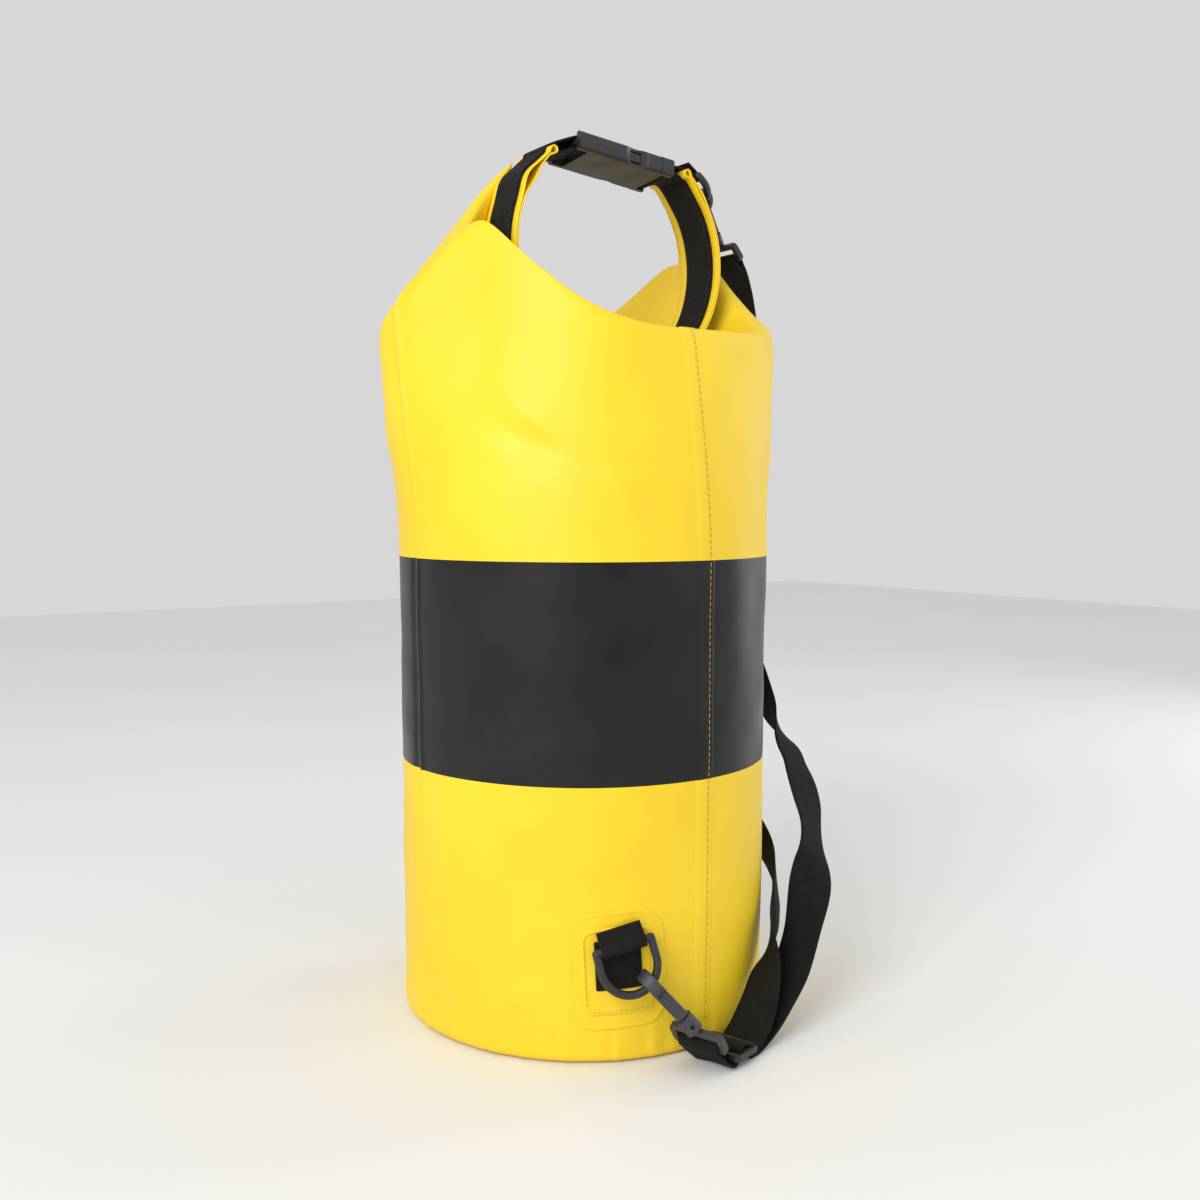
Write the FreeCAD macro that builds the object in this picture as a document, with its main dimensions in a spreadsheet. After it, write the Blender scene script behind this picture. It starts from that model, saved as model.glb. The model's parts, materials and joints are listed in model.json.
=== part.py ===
import FreeCAD, Part
import Sketcher
import math
import os

# A 20 litre roll-top dry bag, standing closed on its base.
# Frame: millimetres, +Z up, origin at the centre of the round base on the floor, -Y the front.
# The flat mouth is folded forward and bent up into a ring that the buckle closes.

Vec = FreeCAD.Vector
UP = Vec(0, 0, 1)

doc = FreeCAD.newDocument("dry_bag")

# ---------------------------------------------------------------- driving dimensions
SIZES = {
    # bag wall
    "base_radius": 107.6,
    "band_foot_radius": 109.4,
    "band_head_radius": 111.8,
    "band_foot": 148.0,
    "band_head": 268.0,
    "pvc": 0.9,
    "base_turn": 5.0,
    "base_lip": 14.0,
    # mouth ring: one circle in the XZ plane, its strip runs along Y
    "ring_radius": 73.0,
    "ring_height": 445.6,
    "mouth_front": -43.0,
    "mouth_back": -6.0,
    "layer_gap": 0.15,
    # webbing
    "webbing_width": 25.0,
    "webbing": 1.3,
    "webbing_middle": -26.0,
    # patch on the front
    "patch_turn": 24.0,
    "patch_middle": 50.5,
    "patch_width": 54.0,
    "patch_tall": 63.0,
    "patch_corner": 14.0,
    "pad_width": 39.0,
    "pad_tall": 46.0,
    "pad_corner": 6.0,
    # D-rings
    "ring_rod": 2.2,
    "ring_half": 15.2,
    "lower_straight": 10.2,
    "upper_straight": 3.0,
    # snap hooks
    "nose_outer": 8.0,
    "nose_inner": 4.3,
    "hook_width": 7.0,
    "shank_half": 3.3,
    "shank_end": 24.0,
    "stem_radius": 2.0,
    "barrel_radius": 4.8,
    "eye_start": 33.5,
    "eye_width": 33.0,
    "eye_deep": 12.5,
    "eye_thick": 3.4,
    "eye_bar": 3.2,
    # tri-glide slider
    "slider_long": 29.6,
    "slider_wide": 21.0,
    "slider_thick": 3.4,
    "slider_slot": 5.2,
    "slider_middle": 6.0,
    # side-release buckle, lengths along its own X axis from the bag's centre plane
    "buckle_width": 35.0,
    "buckle_thick": 10.6,
    "socket_left": -31.0,
    "socket_right": 28.4,
    "plug_right": 37.4,
    "buckle_slot": 4.4,
    "end_bar": 3.4,
}

sheet = doc.addObject("Spreadsheet::Sheet", "sizes")
for row, (alias, value) in enumerate(SIZES.items(), start=1):
    sheet.set("A%d" % row, alias)
    sheet.set("B%d" % row, str(value))
    sheet.setAlias("B%d" % row, alias)
doc.recompute()

# ---------------------------------------------------------------- helpers
nodes = []


def size(alias):
    """The present value of a driving dimension."""
    return float(sheet.get(alias))


def over_sheet(expression):
    """An expression with each #alias written as the sheet's own cell."""
    for alias in sorted(SIZES, key=len, reverse=True):
        expression = expression.replace("#" + alias, "sizes." + alias)
    return expression


def bind(obj, **expressions):
    """Bind properties of an object to expressions over the sheet's aliases."""
    for prop, expression in expressions.items():
        obj.setExpression(prop, over_sheet(expression))
    return obj


def primitive(kind, name, place=None, **expressions):
    """A Part primitive with its sizes bound to the sheet."""
    obj = doc.addObject("Part::" + kind, name)
    bind(obj, **expressions)
    if place is not None:
        obj.Placement = place
    return obj


def fuse(name, *shapes):
    obj = doc.addObject("Part::MultiFuse", name)
    obj.Shapes = list(shapes)
    obj.Refine = True
    return obj


def cut(name, base, tool):
    obj = doc.addObject("Part::Cut", name)
    obj.Base = base
    obj.Tool = tool
    obj.Refine = True
    return obj


def rounded(name, base, radius, chosen):
    """Fillet the edges of base for which chosen(edge) is true."""
    doc.recompute()
    picked = [i for i, edge in enumerate(base.Shape.Edges, start=1) if chosen(edge)]
    obj = doc.addObject("Part::Fillet", name)
    obj.Base = base
    obj.Edges = [(i, radius, radius) for i in picked]
    return obj


def freeform(name, shape):
    obj = doc.addObject("Part::Feature", name)
    obj.Shape = shape
    return obj


def at(x=0.0, y=0.0, z=0.0, axis=UP, turn=0.0):
    return FreeCAD.Placement(Vec(x, y, z), FreeCAD.Rotation(axis, turn))


ALONG_Y = FreeCAD.Rotation(Vec(1, 0, 0), -90)   # turns a cylinder's axis from +Z to +Y
ALONG_X = FreeCAD.Rotation(Vec(0, 1, 0), 90)    # turns a cylinder's axis from +Z to +X


def lying(x, y, z, rotation):
    return FreeCAD.Placement(Vec(x, y, z), rotation)


def frame_of(origin, x_dir, y_dir):
    """Placement whose local X runs along x_dir and whose local Y is as near y_dir as it can be."""
    x_axis = Vec(x_dir).normalize()
    y_axis = (y_dir - x_axis * y_dir.dot(x_axis)).normalize()
    z_axis = x_axis.cross(y_axis)
    matrix = FreeCAD.Matrix(
        x_axis.x, y_axis.x, z_axis.x, origin.x,
        x_axis.y, y_axis.y, z_axis.y, origin.y,
        x_axis.z, y_axis.z, z_axis.z, origin.z,
        0, 0, 0, 1)
    return FreeCAD.Placement(matrix)


def node(obj, label, place=None):
    """Register a finished sub-part under its label, at its place on the bag."""
    obj.Label = label
    if place is not None:
        obj.Placement = place.multiply(obj.Placement)
    nodes.append(obj)
    return obj


def plane_of(body, role):
    return next(f for f in body.Origin.OriginFeatures if f.Role == role)


def revolved_body(name, outline, turn=360.0):
    """PartDesign body: an outline in the XZ plane, turned about the Z axis.

    outline is a list of (x expression, z expression) corners over the sheet's aliases.
    """
    body = doc.addObject("PartDesign::Body", name)
    sketch = body.newObject("Sketcher::SketchObject", name + "_profile")
    sketch.AttachmentSupport = (plane_of(body, "XZ_Plane"), [""])
    sketch.MapMode = "FlatFace"
    count = len(outline)
    corners = [Vec(5.0 + 3.0 * math.cos(2 * math.pi * i / count), 3.0 * math.sin(2 * math.pi * i / count), 0)
               for i in range(count)]
    for i in range(count):
        sketch.addGeometry(Part.LineSegment(corners[i], corners[(i + 1) % count]), False)
    for i in range(count):
        sketch.addConstraint(Sketcher.Constraint("Coincident", i, 2, (i + 1) % count, 1))
    for i, (x_text, z_text) in enumerate(outline):
        for kind, text in (("DistanceX", x_text), ("DistanceY", z_text)):
            index = sketch.addConstraint(Sketcher.Constraint(kind, -1, 1, i, 1, 5.0))
            sketch.setExpression("Constraints[%d]" % index, over_sheet(text))
    turned = body.newObject("PartDesign::Revolution", name + "_turned")
    turned.Profile = sketch
    turned.ReferenceAxis = (sketch, ["V_Axis"])
    turned.Angle = turn
    return body


# ---------------------------------------------------------------- bag wall below the shoulders
def make_wall():
    base = revolved_body("base_disc", [
        ("0 mm", "0 mm"),
        ("#base_radius - #base_turn", "0 mm"),
        ("#base_radius - #pvc - 0.3", "#base_turn - 0.6"),
        ("#base_radius - #pvc - 0.3", "#base_lip"),
        ("#base_radius - 2 * #pvc - 0.3", "#base_lip"),
        ("#base_radius - 2 * #pvc - 0.3", "#base_turn"),
        ("#base_radius - #base_turn - 0.6", "#pvc"),
        ("0 mm", "#pvc"),
    ])
    node(base, "base_disc")
    lower = revolved_body("lower_panel", [
        ("#base_radius - #base_turn + 0.6", "0 mm"),
        ("#base_radius - 1.6", "1.2"),
        ("#base_radius", "#base_turn"),
        ("#band_foot_radius", "#band_foot"),
        ("#band_foot_radius - #pvc", "#band_foot"),
        ("#base_radius - #pvc", "#base_turn - 0.5"),
    ])
    node(lower, "lower_panel")
    band = revolved_body("band_panel", [
        ("#band_foot_radius", "#band_foot"),
        ("#band_head_radius", "#band_head"),
        ("#band_head_radius - #pvc", "#band_head"),
        ("#band_foot_radius - #pvc", "#band_foot"),
    ])
    node(band, "band_panel")
    tape = revolved_body("seam_tape", [
        ("#base_radius - #pvc - 0.35", "#base_lip + 2"),
        ("#band_foot_radius - #pvc - 0.35", "#band_foot"),
        ("#band_head_radius - #pvc - 0.35", "#band_head - 2"),
        ("#band_head_radius - #pvc - 0.85", "#band_head - 2"),
        ("#band_foot_radius - #pvc - 0.85", "#band_foot"),
        ("#base_radius - #pvc - 0.85", "#base_lip + 2"),
    ], 9.0)
    node(tape, "seam_tape", at(turn=-90 + 5.5 - 4.5))


# ---------------------------------------------------------------- shoulders and ears
# The rim is where the wall turns inwards. It is higher at the front left and the back right,
# because the ring is set a little askew on the bag. Points run round from the front centre
# towards +X; each stands over its own stretch of the wall, 22.5 degrees apart.
RIM = [
    Vec(0, -95, 397.5), Vec(38, -91, 398.5), Vec(76, -78, 400.5), Vec(105, -56, 404),
    Vec(119, -22, 409), Vec(88, 5, 452), Vec(74, 32, 447), Vec(50, 72, 414),
    Vec(14, 94, 392), Vec(-32, 95, 389), Vec(-76, 80, 394), Vec(-108, 54, 401),
    Vec(-121, 16, 411), Vec(-94, -19, 452), Vec(-84, -42, 451), Vec(-52, -84, 408),
]
MOUTH_TURN = 137.0      # half the arc that the mouth takes up on its circle, in degrees
AROUND = 48             # poles round the shoulders
SLOPE_OFF = 16.0        # how far the inner slope keeps outside the ring's circle
NECK_OFF = 9.5          # how far its neck does
BACK_FADE = 0.5         # quarters of a turn behind the creases over which both fade
TIP_OFF = 1.5           # how far the mouth's own edge moves out at the two creases
NECK_BACK = 8.0         # how far the back wall's neck stays behind the front wall's edge
# a periodic cubic through evenly spaced poles on a circle runs a little inside them
POLE_SPREAD = 1.0 / (1.0 - (1.0 - math.cos(2 * math.pi / AROUND)) / 3.0)


def rim_point(part_round):
    """Point of the rim on a smooth closed curve through RIM."""
    curve = Part.BSplineCurve()
    curve.interpolate(Points=RIM, Parameters=list(range(len(RIM) + 1)), PeriodicFlag=True)
    return curve.value(part_round * len(RIM))


def ring_point(turn, radius, y):
    """Point on the mouth ring: turn in degrees from its lowest point towards +X."""
    angle = math.radians(turn)
    return Vec(radius * math.sin(angle), y, size("ring_height") - radius * math.cos(angle))


def from_front(part_round):
    """Signed share of the way round: 0 at the front centre, +-0.25 at the sides, 0.5 behind."""
    return part_round if part_round <= 0.5 else part_round - 1.0


def mouth_point(part_round, inset):
    """Point of the flat neck's outline, where the front and the back wall lie face to face."""
    signed = from_front(part_round)
    quarters = abs(signed) * 4.0
    front = size("ring_radius") + 3.4 + inset
    back = size("ring_radius") - 1.0 + inset
    end = MOUTH_TURN + 1.6 - inset
    share = min(quarters, 2.0 - quarters)
    radius = front if quarters < 1.001 else back
    if share > 0.999:
        radius += TIP_OFF
    return ring_point(math.copysign(share * end, signed), radius, size("mouth_back") + inset)


def pushed_out(point, radius):
    """The point moved off the mouth ring's axis, if it is nearer to it than radius."""
    centre = Vec(0, point.y, size("ring_height"))
    spoke = point - centre
    return centre + spoke * max(1.0, radius / spoke.Length)


def inner_slope(rim, mouth, part_round, inset):
    """Two points of the inner slope. In front and at the side creases it stays outside the strip;
    behind them this hold on it fades, because the back wall leaves the mouth the other way."""
    quarters = abs(from_front(part_round)) * 4.0
    hold = 1.0 if quarters <= 1.0 else max(0.0, 1.0 - (quarters - 1.0) / BACK_FADE)
    sag = 0.0 if quarters <= 1.0 else 6.0 * (quarters - 1.0) + inset
    slope_radius = (size("ring_radius") + SLOPE_OFF) * hold + inset
    slope = pushed_out((rim + mouth) * 0.5 - UP * sag, slope_radius)
    neck_radius = size("ring_radius") - 1.0 + NECK_OFF * hold + inset
    neck = mouth + (slope - mouth) * 0.4
    if hold > 0.0:
        neck = pushed_out(neck, neck_radius)
    if quarters > 0.999:
        neck.y = max(neck.y, size("mouth_back") + NECK_BACK)
    return slope, neck


def shoulder_poles(inset):
    """Rows of poles of the shoulders' skin, from the band up, over the rim and to the mouth."""
    head = size("band_head")
    turn = 7.0 - inset
    columns = []
    for i in range(AROUND):
        part_round = i / AROUND
        angle = 2 * math.pi * part_round
        spoke = Vec(math.sin(angle), -math.cos(angle), 0)
        foot = spoke * (size("band_head_radius") - inset) * POLE_SPREAD + UP * head
        rim = rim_point(part_round)
        rim = rim - Vec(rim.x, rim.y, 0).normalize() * inset - UP * inset
        mouth = mouth_point(part_round, inset)
        slope, neck = inner_slope(rim, mouth, part_round, inset)
        waist = foot + UP * 22
        chest = foot + (rim - foot) * 0.55 + spoke * 3.0
        rise = (rim - chest).normalize()
        fall = (slope - rim).normalize()
        crest = rim + (rise - fall) * 0.25 * turn
        columns.append([foot, waist, chest, crest - rise * 2.4 * turn, crest,
                        crest + fall * 1.6 * turn, slope, neck, mouth])
    return columns


def skin(columns):
    """Cubic surface on the poles, closed round the bag and clamped at both ends."""
    rows = len(columns[0])
    surface = Part.BSplineSurface()
    surface.buildFromPolesMultsKnots(
        columns,
        [1] * (AROUND + 1), [4] + [1] * (rows - 4) + [4],
        list(range(AROUND + 1)), list(range(rows - 2)),
        True, False, 3, 3)
    return surface


def end_edge(face, axis, position):
    """The edge of face that lies in the plane where the given coordinate has this value."""
    for edge in face.Edges:
        box = edge.BoundBox
        low, high = (box.ZMin, box.ZMax) if axis == "z" else (box.YMin, box.YMax)
        if abs(low - position) < 0.001 and abs(high - position) < 0.001:
            return edge
    raise ValueError("no edge at %s = %g" % (axis, position))


def make_shoulders():
    pvc = size("pvc")
    skins = [skin(shoulder_poles(inset)).toShape() for inset in (0.0, pvc)]
    feet = [Part.Wire([end_edge(face, "z", size("band_head"))]) for face in skins]
    faces = skins + [Part.makeFace(feet, "Part::FaceMakerBullseye")]
    for face, inset in zip(skins, (0.0, pvc)):
        mouth = end_edge(face, "y", size("mouth_back") + inset)
        faces.append(Part.Face(Part.Wire([mouth])))
    shell = Part.makeShell(faces)
    shell.sewShape()
    node(freeform("upper_panel", Part.makeSolid(shell)), "upper_panel")


# ---------------------------------------------------------------- mouth strip
def arc_strip(name, inner_radius, thick, half_turn, front, deep):
    """Strip bent round the mouth ring: an annular sector made of two cylinders' sectors."""
    start = 270.0 - half_turn
    place = FreeCAD.Placement(Vec(0, size("mouth_front"), size("ring_height")),
                              FreeCAD.Rotation(Vec(1, 0, 0), -90))
    spin = FreeCAD.Placement(Vec(0, 0, 0), FreeCAD.Rotation(UP, 90 - half_turn))
    outer = primitive("Cylinder", name + "_outer", Radius=inner_radius + " + " + thick,
                      Height=deep, Angle="%g" % (2 * half_turn))
    inner = primitive("Cylinder", name + "_inner", Radius=inner_radius, Height=deep)
    strip = cut(name, outer, inner)
    strip.Placement = place.multiply(at(z=front)).multiply(spin)
    return strip


def make_mouth():
    width = "#webbing_width"
    lip_deep = "#mouth_back - #mouth_front - 1"
    webbing_front = size("webbing_middle") - size("webbing_width") / 2 - size("mouth_front")
    stack = [
        ("inner_webbing", "#ring_radius - #layer_gap - #pvc - #layer_gap - #webbing", "#webbing",
         MOUTH_TURN - 1, webbing_front, width),
        ("back_lip", "#ring_radius - #layer_gap - #pvc", "#pvc", MOUTH_TURN, 0.0, lip_deep),
        ("front_lip", "#ring_radius + #layer_gap", "#pvc", MOUTH_TURN, 0.0, lip_deep),
        ("outer_webbing", "#ring_radius + 2 * #layer_gap + #pvc", "#webbing",
         MOUTH_TURN - 1, webbing_front, width),
    ]
    for name, inner_radius, thick, half_turn, front, deep in stack:
        node(arc_strip(name, inner_radius, thick, half_turn, front, deep), name)


# ---------------------------------------------------------------- ribbons of webbing
def ribbon(stations, thick, squared=True):
    """Closed solid of flat webbing through stations of (middle point, across direction).

    squared turns each section square to the run; without it the sections keep their own across.
    """
    half_wide = size("webbing_width") / 2
    half_thick = thick / 2
    middles = [middle for middle, across in stations]
    wires = []
    for i, (middle, across) in enumerate(stations):
        before = middles[max(i - 1, 0)]
        after = middles[min(i + 1, len(middles) - 1)]
        run = (after - before).normalize()
        side = (across - run * across.dot(run) * squared).normalize()
        face = run.cross(side).normalize()
        corners = [middle + side * half_wide * a + face * half_thick * b
                   for a, b in ((1, 1), (-1, 1), (-1, -1), (1, -1))]
        wires.append(Part.makePolygon(corners + corners[:1]))
    return Part.makeLoft(wires, True, True)


def run_length(stations):
    middles = [middle for middle, across in stations]
    return sum((b - a).Length for a, b in zip(middles, middles[1:]))


# ---------------------------------------------------------------- patch on the front
TURN = math.radians(-SIZES["patch_turn"])
OUTWARD = Vec(math.sin(TURN), -math.cos(TURN), 0)
RIGHTWARD = Vec(math.cos(TURN), math.sin(TURN), 0)


def off_wall(right, outward, height):
    """Point in front of the patch: along the wall to the right, out from the axis, and up."""
    return RIGHTWARD * right + OUTWARD * outward + UP * height


def leaning(degrees):
    """Rightward direction turned towards +Z."""
    angle = math.radians(degrees)
    return RIGHTWARD * math.cos(angle) + UP * math.sin(angle)


def wall_skin(name, lift, thick):
    """Conical skin that follows the lower wall, lifted off it by lift."""
    cones = []
    for part, extra in (("outer", lift + thick), ("inner", lift)):
        cones.append(primitive("Cone", "%s_%s_cone" % (name, part), at(z=size("base_turn")),
                               Radius1="#base_radius + %g" % extra,
                               Radius2="#band_foot_radius + %g" % extra,
                               Height="#band_foot - #base_turn"))
    return cut(name + "_skin", cones[0], cones[1])


def welded_layer(name, lift, thick, wide, tall, corner, shift=0.0):
    """Rounded rectangle of sheet that lies on the curved wall."""
    box = primitive("Box", name + "_block", at(-size(wide) / 2, -size(tall) / 2 + shift, 90),
                    Length="#" + wide, Width="#" + tall, Height="40")
    outline = rounded(name + "_outline", box, size(corner),
                      lambda e: abs(e.Vertexes[0].X - e.Vertexes[1].X) < 1e-6
                      and abs(e.Vertexes[0].Y - e.Vertexes[1].Y) < 1e-6)
    outline.Placement = frame_of(UP * size("patch_middle"), leaning(3.0), UP)
    layer = doc.addObject("Part::Common", name)
    layer.Base = wall_skin(name, lift, thick)
    layer.Tool = outline
    return layer


def make_patch():
    pvc = size("pvc")
    node(welded_layer("patch_outer", 0.05, pvc, "patch_width", "patch_tall", "patch_corner"),
         "patch_outer")
    node(welded_layer("patch_inner", pvc + 0.1, pvc, "pad_width", "pad_tall", "pad_corner"),
         "patch_inner")
    lift = 2 * pvc + 0.15
    block = primitive("Box", "anchor_block", at(-size("webbing_width") / 2, -9.5, 90),
                      Length="#webbing_width", Width="26", Height="40")
    block.Placement = frame_of(UP * size("patch_middle"), leaning(3.0), UP).multiply(block.Placement)
    webbing = doc.addObject("Part::Common", "patch_webbing")
    webbing.Base = wall_skin("patch_webbing", lift, size("webbing"))
    webbing.Tool = block
    node(webbing, "patch_webbing")


# ---------------------------------------------------------------- D-rings and their keepers
def d_ring(name, straight):
    """D-shaped rod. Local frame: bar along X through the origin, the bow hanging to -Y."""
    rod, half = "#ring_rod", "#ring_half"
    bow = primitive("Torus", name + "_bow", Radius1=half, Radius2=rod)
    bow.Angle3 = 180
    bow.Placement = FreeCAD.Placement(Vec(0, -size(straight), 0), FreeCAD.Rotation(UP, 180))
    bar = primitive("Cylinder", name + "_bar", lying(-size("ring_half"), 0, 0, ALONG_X),
                    Radius=rod, Height="2 * " + half)
    parts = [bow, bar]
    for side in (-1, 1):
        x = side * size("ring_half")
        leg = primitive("Cylinder", "%s_leg%d" % (name, side + 2),
                        lying(x, -size(straight), 0, ALONG_Y), Radius=rod, Height="#" + straight)
        corner = primitive("Sphere", "%s_corner%d" % (name, side + 2), at(x, 0, 0), Radius=rod)
        parts += [leg, corner]
    return fuse(name, *parts)


def keeper(name, inner, tail_length, tail_side):
    """Webbing turned round a D-ring's bar, with a flat tail. Local frame as the D-ring's."""
    wide = "#webbing_width"
    place = lying(-size("webbing_width") / 2, 0, 0, ALONG_X)
    outer_roll = primitive("Cylinder", name + "_roll", place, Radius="%g + #webbing" % inner,
                           Height=wide)
    hollow = primitive("Cylinder", name + "_hollow", place, Radius="%g" % inner, Height=wide)
    low = -inner - size("webbing")
    tail = primitive("Box", name + "_tail",
                     at(-size("webbing_width") / 2, 0 if tail_side > 0 else -tail_length, low),
                     Length=wide, Width="%g" % tail_length, Height="#webbing")
    return cut(name, fuse(name + "_whole", outer_roll, tail), hollow)


LOWER_BAR = off_wall(1.4, 116.2, 65.9)
LOWER_RING = frame_of(LOWER_BAR, leaning(14.5), UP - OUTWARD * 0.18)
NOSE_TURN = math.radians(-56)
LOWER_NOSE = LOWER_RING.multVec(Vec(SIZES["ring_half"] * math.cos(NOSE_TURN),
                                    -SIZES["lower_straight"] + SIZES["ring_half"] * math.sin(NOSE_TURN), 0))
LOWER_EYE = Vec(-11.9, -130.2, 17.6)

UPPER_BAR = Vec(57.8, -26.0, 500.3)
UPPER_NOSE = UPPER_BAR + Vec(0.8, 0, -0.6) * (SIZES["ring_half"] + SIZES["upper_straight"])
UPPER_RING = frame_of(UPPER_BAR, Vec(0, 1, 0), UPPER_BAR - UPPER_NOSE)


def make_rings():
    node(d_ring("lower_d_ring", "lower_straight"), "lower_d_ring", LOWER_RING)
    node(d_ring("upper_d_ring", "upper_straight"), "upper_d_ring", UPPER_RING)
    inner = size("ring_rod") + 0.3
    node(keeper("lower_keeper", inner, 6.0, 1), "lower_keeper", LOWER_RING)
    # the upper keeper's tail lies along the outer webbing, back towards the mouth's end
    turned = UPPER_RING.multiply(at(axis=Vec(1, 0, 0), turn=180))
    node(keeper("upper_keeper", inner, 6.0, -1), "upper_keeper", turned)


# ---------------------------------------------------------------- snap hooks
# Local frame: origin on the D-ring's rod, X along the shank to the eye, Y along the rod.
def snap_hook(name, place):
    wide = "#hook_width"
    side = -size("hook_width") / 2
    bow = primitive("Cylinder", name + "_bow", lying(0, side, 0, ALONG_Y),
                    Radius="#nose_outer", Height=wide)
    shank = primitive("Box", name + "_shank", at(0, side, -size("shank_half")),
                      Length="#shank_end", Width=wide, Height="2 * #shank_half")
    heel = primitive("Box", name + "_heel", at(13.6, side, -7.0),
                     Length="#shank_end - 13.6", Width=wide, Height="5")
    solid = rounded(name + "_rounded", fuse(name + "_blank", bow, shank, heel), 1.2,
                    lambda e: e.Length > 3 and abs(abs(e.CenterOfMass.y) - 3.5) < 0.01)
    hole = primitive("Cylinder", name + "_hole", lying(0, side - 1, 0, ALONG_Y),
                     Radius="#nose_inner", Height=wide + " + 2")
    mouth = primitive("Box", name + "_mouth", at(1.2, side - 1, -9),
                      Length="12.4", Width=wide + " + 2", Height="9 - #shank_half")
    gap = primitive("Box", name + "_gap", at(1.2, side - 1, -4.5),
                    Length="3", Width=wide + " + 2", Height="3.5")
    stem = primitive("Cylinder", name + "_stem", lying(size("shank_end") - 1, 0, 0, ALONG_X),
                     Radius="#stem_radius", Height="7")
    head = primitive("Cylinder", name + "_head", lying(28.6, 0, 0, ALONG_X), Radius="3.3", Height="2.2")
    opened = cut(name + "_opened", solid, fuse(name + "_space", hole, mouth, gap))
    node(fuse(name, opened, stem, head), name, place)


def gate(name, place):
    wide = "#hook_width - 1.4"
    blade = primitive("Box", name + "_blade", at(1.5, 0.7 - size("hook_width") / 2, -6.9),
                      Length="11.8", Width=wide, Height="2.2")
    node(rounded(name, blade, 0.6, lambda e: e.Length > 6), name, place)


def eye(name, place, eye_place):
    """Swivel barrel with a chamber for the stem's head, and the frame that the strap goes round."""
    barrel = primitive("Cylinder", name + "_barrel", lying(24.6, 0, 0, ALONG_X),
                       Radius="#barrel_radius", Height="#eye_start - 24")
    bore = primitive("Cylinder", name + "_bore", lying(24, 0, 0, ALONG_X),
                     Radius="#stem_radius + 0.25", Height="5")
    chamber = primitive("Cylinder", name + "_chamber", lying(28.2, 0, 0, ALONG_X),
                        Radius="3.6", Height="3.4")
    window = primitive("Cylinder", name + "_window", at(30, 0, -6), Radius="1.3", Height="12")
    block = primitive("Box", name + "_block",
                      at(-size("eye_deep") / 2, -size("eye_width") / 2, -size("eye_thick") / 2),
                      Length="#eye_deep", Width="#eye_width", Height="#eye_thick")
    plate = rounded(name + "_plate", block, 3.0, lambda e: abs(e.Length - size("eye_thick")) < 0.01)
    slot = primitive("Box", name + "_slot",
                     at(-size("eye_deep") / 2 + size("eye_bar"),
                        -size("eye_width") / 2 + size("eye_bar"), -size("eye_thick")),
                     Length="#eye_deep - 2 * #eye_bar", Width="#eye_width - 2 * #eye_bar",
                     Height="2 * #eye_thick")
    frame = cut(name + "_frame", plate, slot)
    doc.recompute()
    frame.Placement = place.inverse().multiply(eye_place)
    hollow = fuse(name + "_hollow", bore, chamber, window)
    body = cut(name + "_body", fuse(name + "_outside", barrel, frame), hollow)
    node(body, name, place)


def eye_ring_place(nose, along, across):
    """Place of the eye's frame: across runs along its long side; it starts at the barrel's end."""
    x_axis = Vec(along).normalize()
    y_axis = Vec(across).normalize()
    down = (x_axis - y_axis * x_axis.dot(y_axis)).normalize()
    middle = nose + x_axis * (SIZES["eye_start"] + 1.0) + down * (SIZES["eye_deep"] / 2 - 1.0)
    return frame_of(middle, down, across)


LOWER_ALONG = LOWER_EYE - LOWER_NOSE
LOWER_ROD = LOWER_RING.Rotation.multVec(Vec(-math.sin(NOSE_TURN), math.cos(NOSE_TURN), 0))
LOWER_HOOK = frame_of(LOWER_NOSE, LOWER_ALONG, LOWER_ROD)
SLIDER_ACROSS = Vec(0.30, -0.954, 0)
LOWER_EYE_RING = eye_ring_place(LOWER_NOSE, LOWER_ALONG, SLIDER_ACROSS)
UPPER_ALONG = Vec(0.6, 0.245, -0.763)
UPPER_HOOK = frame_of(UPPER_NOSE, UPPER_ALONG, Vec(0, 1, 0))
UPPER_EYE_RING = eye_ring_place(UPPER_NOSE, UPPER_ALONG, Vec(0, 1, 0))


def make_hooks():
    for level, place, eye_place in (("lower", LOWER_HOOK, LOWER_EYE_RING),
                                    ("upper", UPPER_HOOK, UPPER_EYE_RING)):
        snap_hook(level + "_hook", place)
        gate(level + "_gate", place)
        eye(level + "_eye", place, eye_place)


# ---------------------------------------------------------------- slider on the strap
SLIDER = frame_of(Vec(8.8, -124.3, SIZES["slider_middle"]), Vec(0.954, 0.30, 0), SLIDER_ACROSS)


def make_slider():
    block = primitive("Box", "slider_block",
                      at(-size("slider_wide") / 2, -size("slider_long") / 2, -size("slider_thick") / 2),
                      Length="#slider_wide", Width="#slider_long", Height="#slider_thick")
    plate = rounded("slider_plate", block, 2.5, lambda e: abs(e.Length - size("slider_thick")) < 0.01)
    slots = []
    for side in (-1, 1):
        middle = side * size("slider_slot") * 0.94
        slots.append(primitive("Box", "slider_slot%d" % (side + 2),
                               at(middle - size("slider_slot") / 2, -size("webbing_width") / 2 - 0.6, -3),
                               Length="#slider_slot", Width="#webbing_width + 1.2", Height="6"))
    node(cut("slider", plate, fuse("slider_slots", *slots)), "slider", SLIDER)


# ---------------------------------------------------------------- side-release buckle
SLOPE = math.radians(6.2)
BUCKLE = frame_of(Vec(0, -26, 504), Vec(math.cos(SLOPE), 0, -math.sin(SLOPE)), Vec(0, 0.9945, -0.1045))


def buckle_block(name, start, end, radius):
    """Block of the buckle's full width and thickness with rounded long edges."""
    block = primitive("Box", name + "_block",
                      at(size(start) if start in SIZES else float(start),
                         -size("buckle_width") / 2, -size("buckle_thick") / 2),
                      Length="#%s - (%s)" % (end, "#" + start if start in SIZES else start),
                      Width="#buckle_width", Height="#buckle_thick")
    return rounded(name + "_rounded", block, radius,
                   lambda e: abs(e.Vertexes[0].X - e.Vertexes[1].X) > 5)


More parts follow.
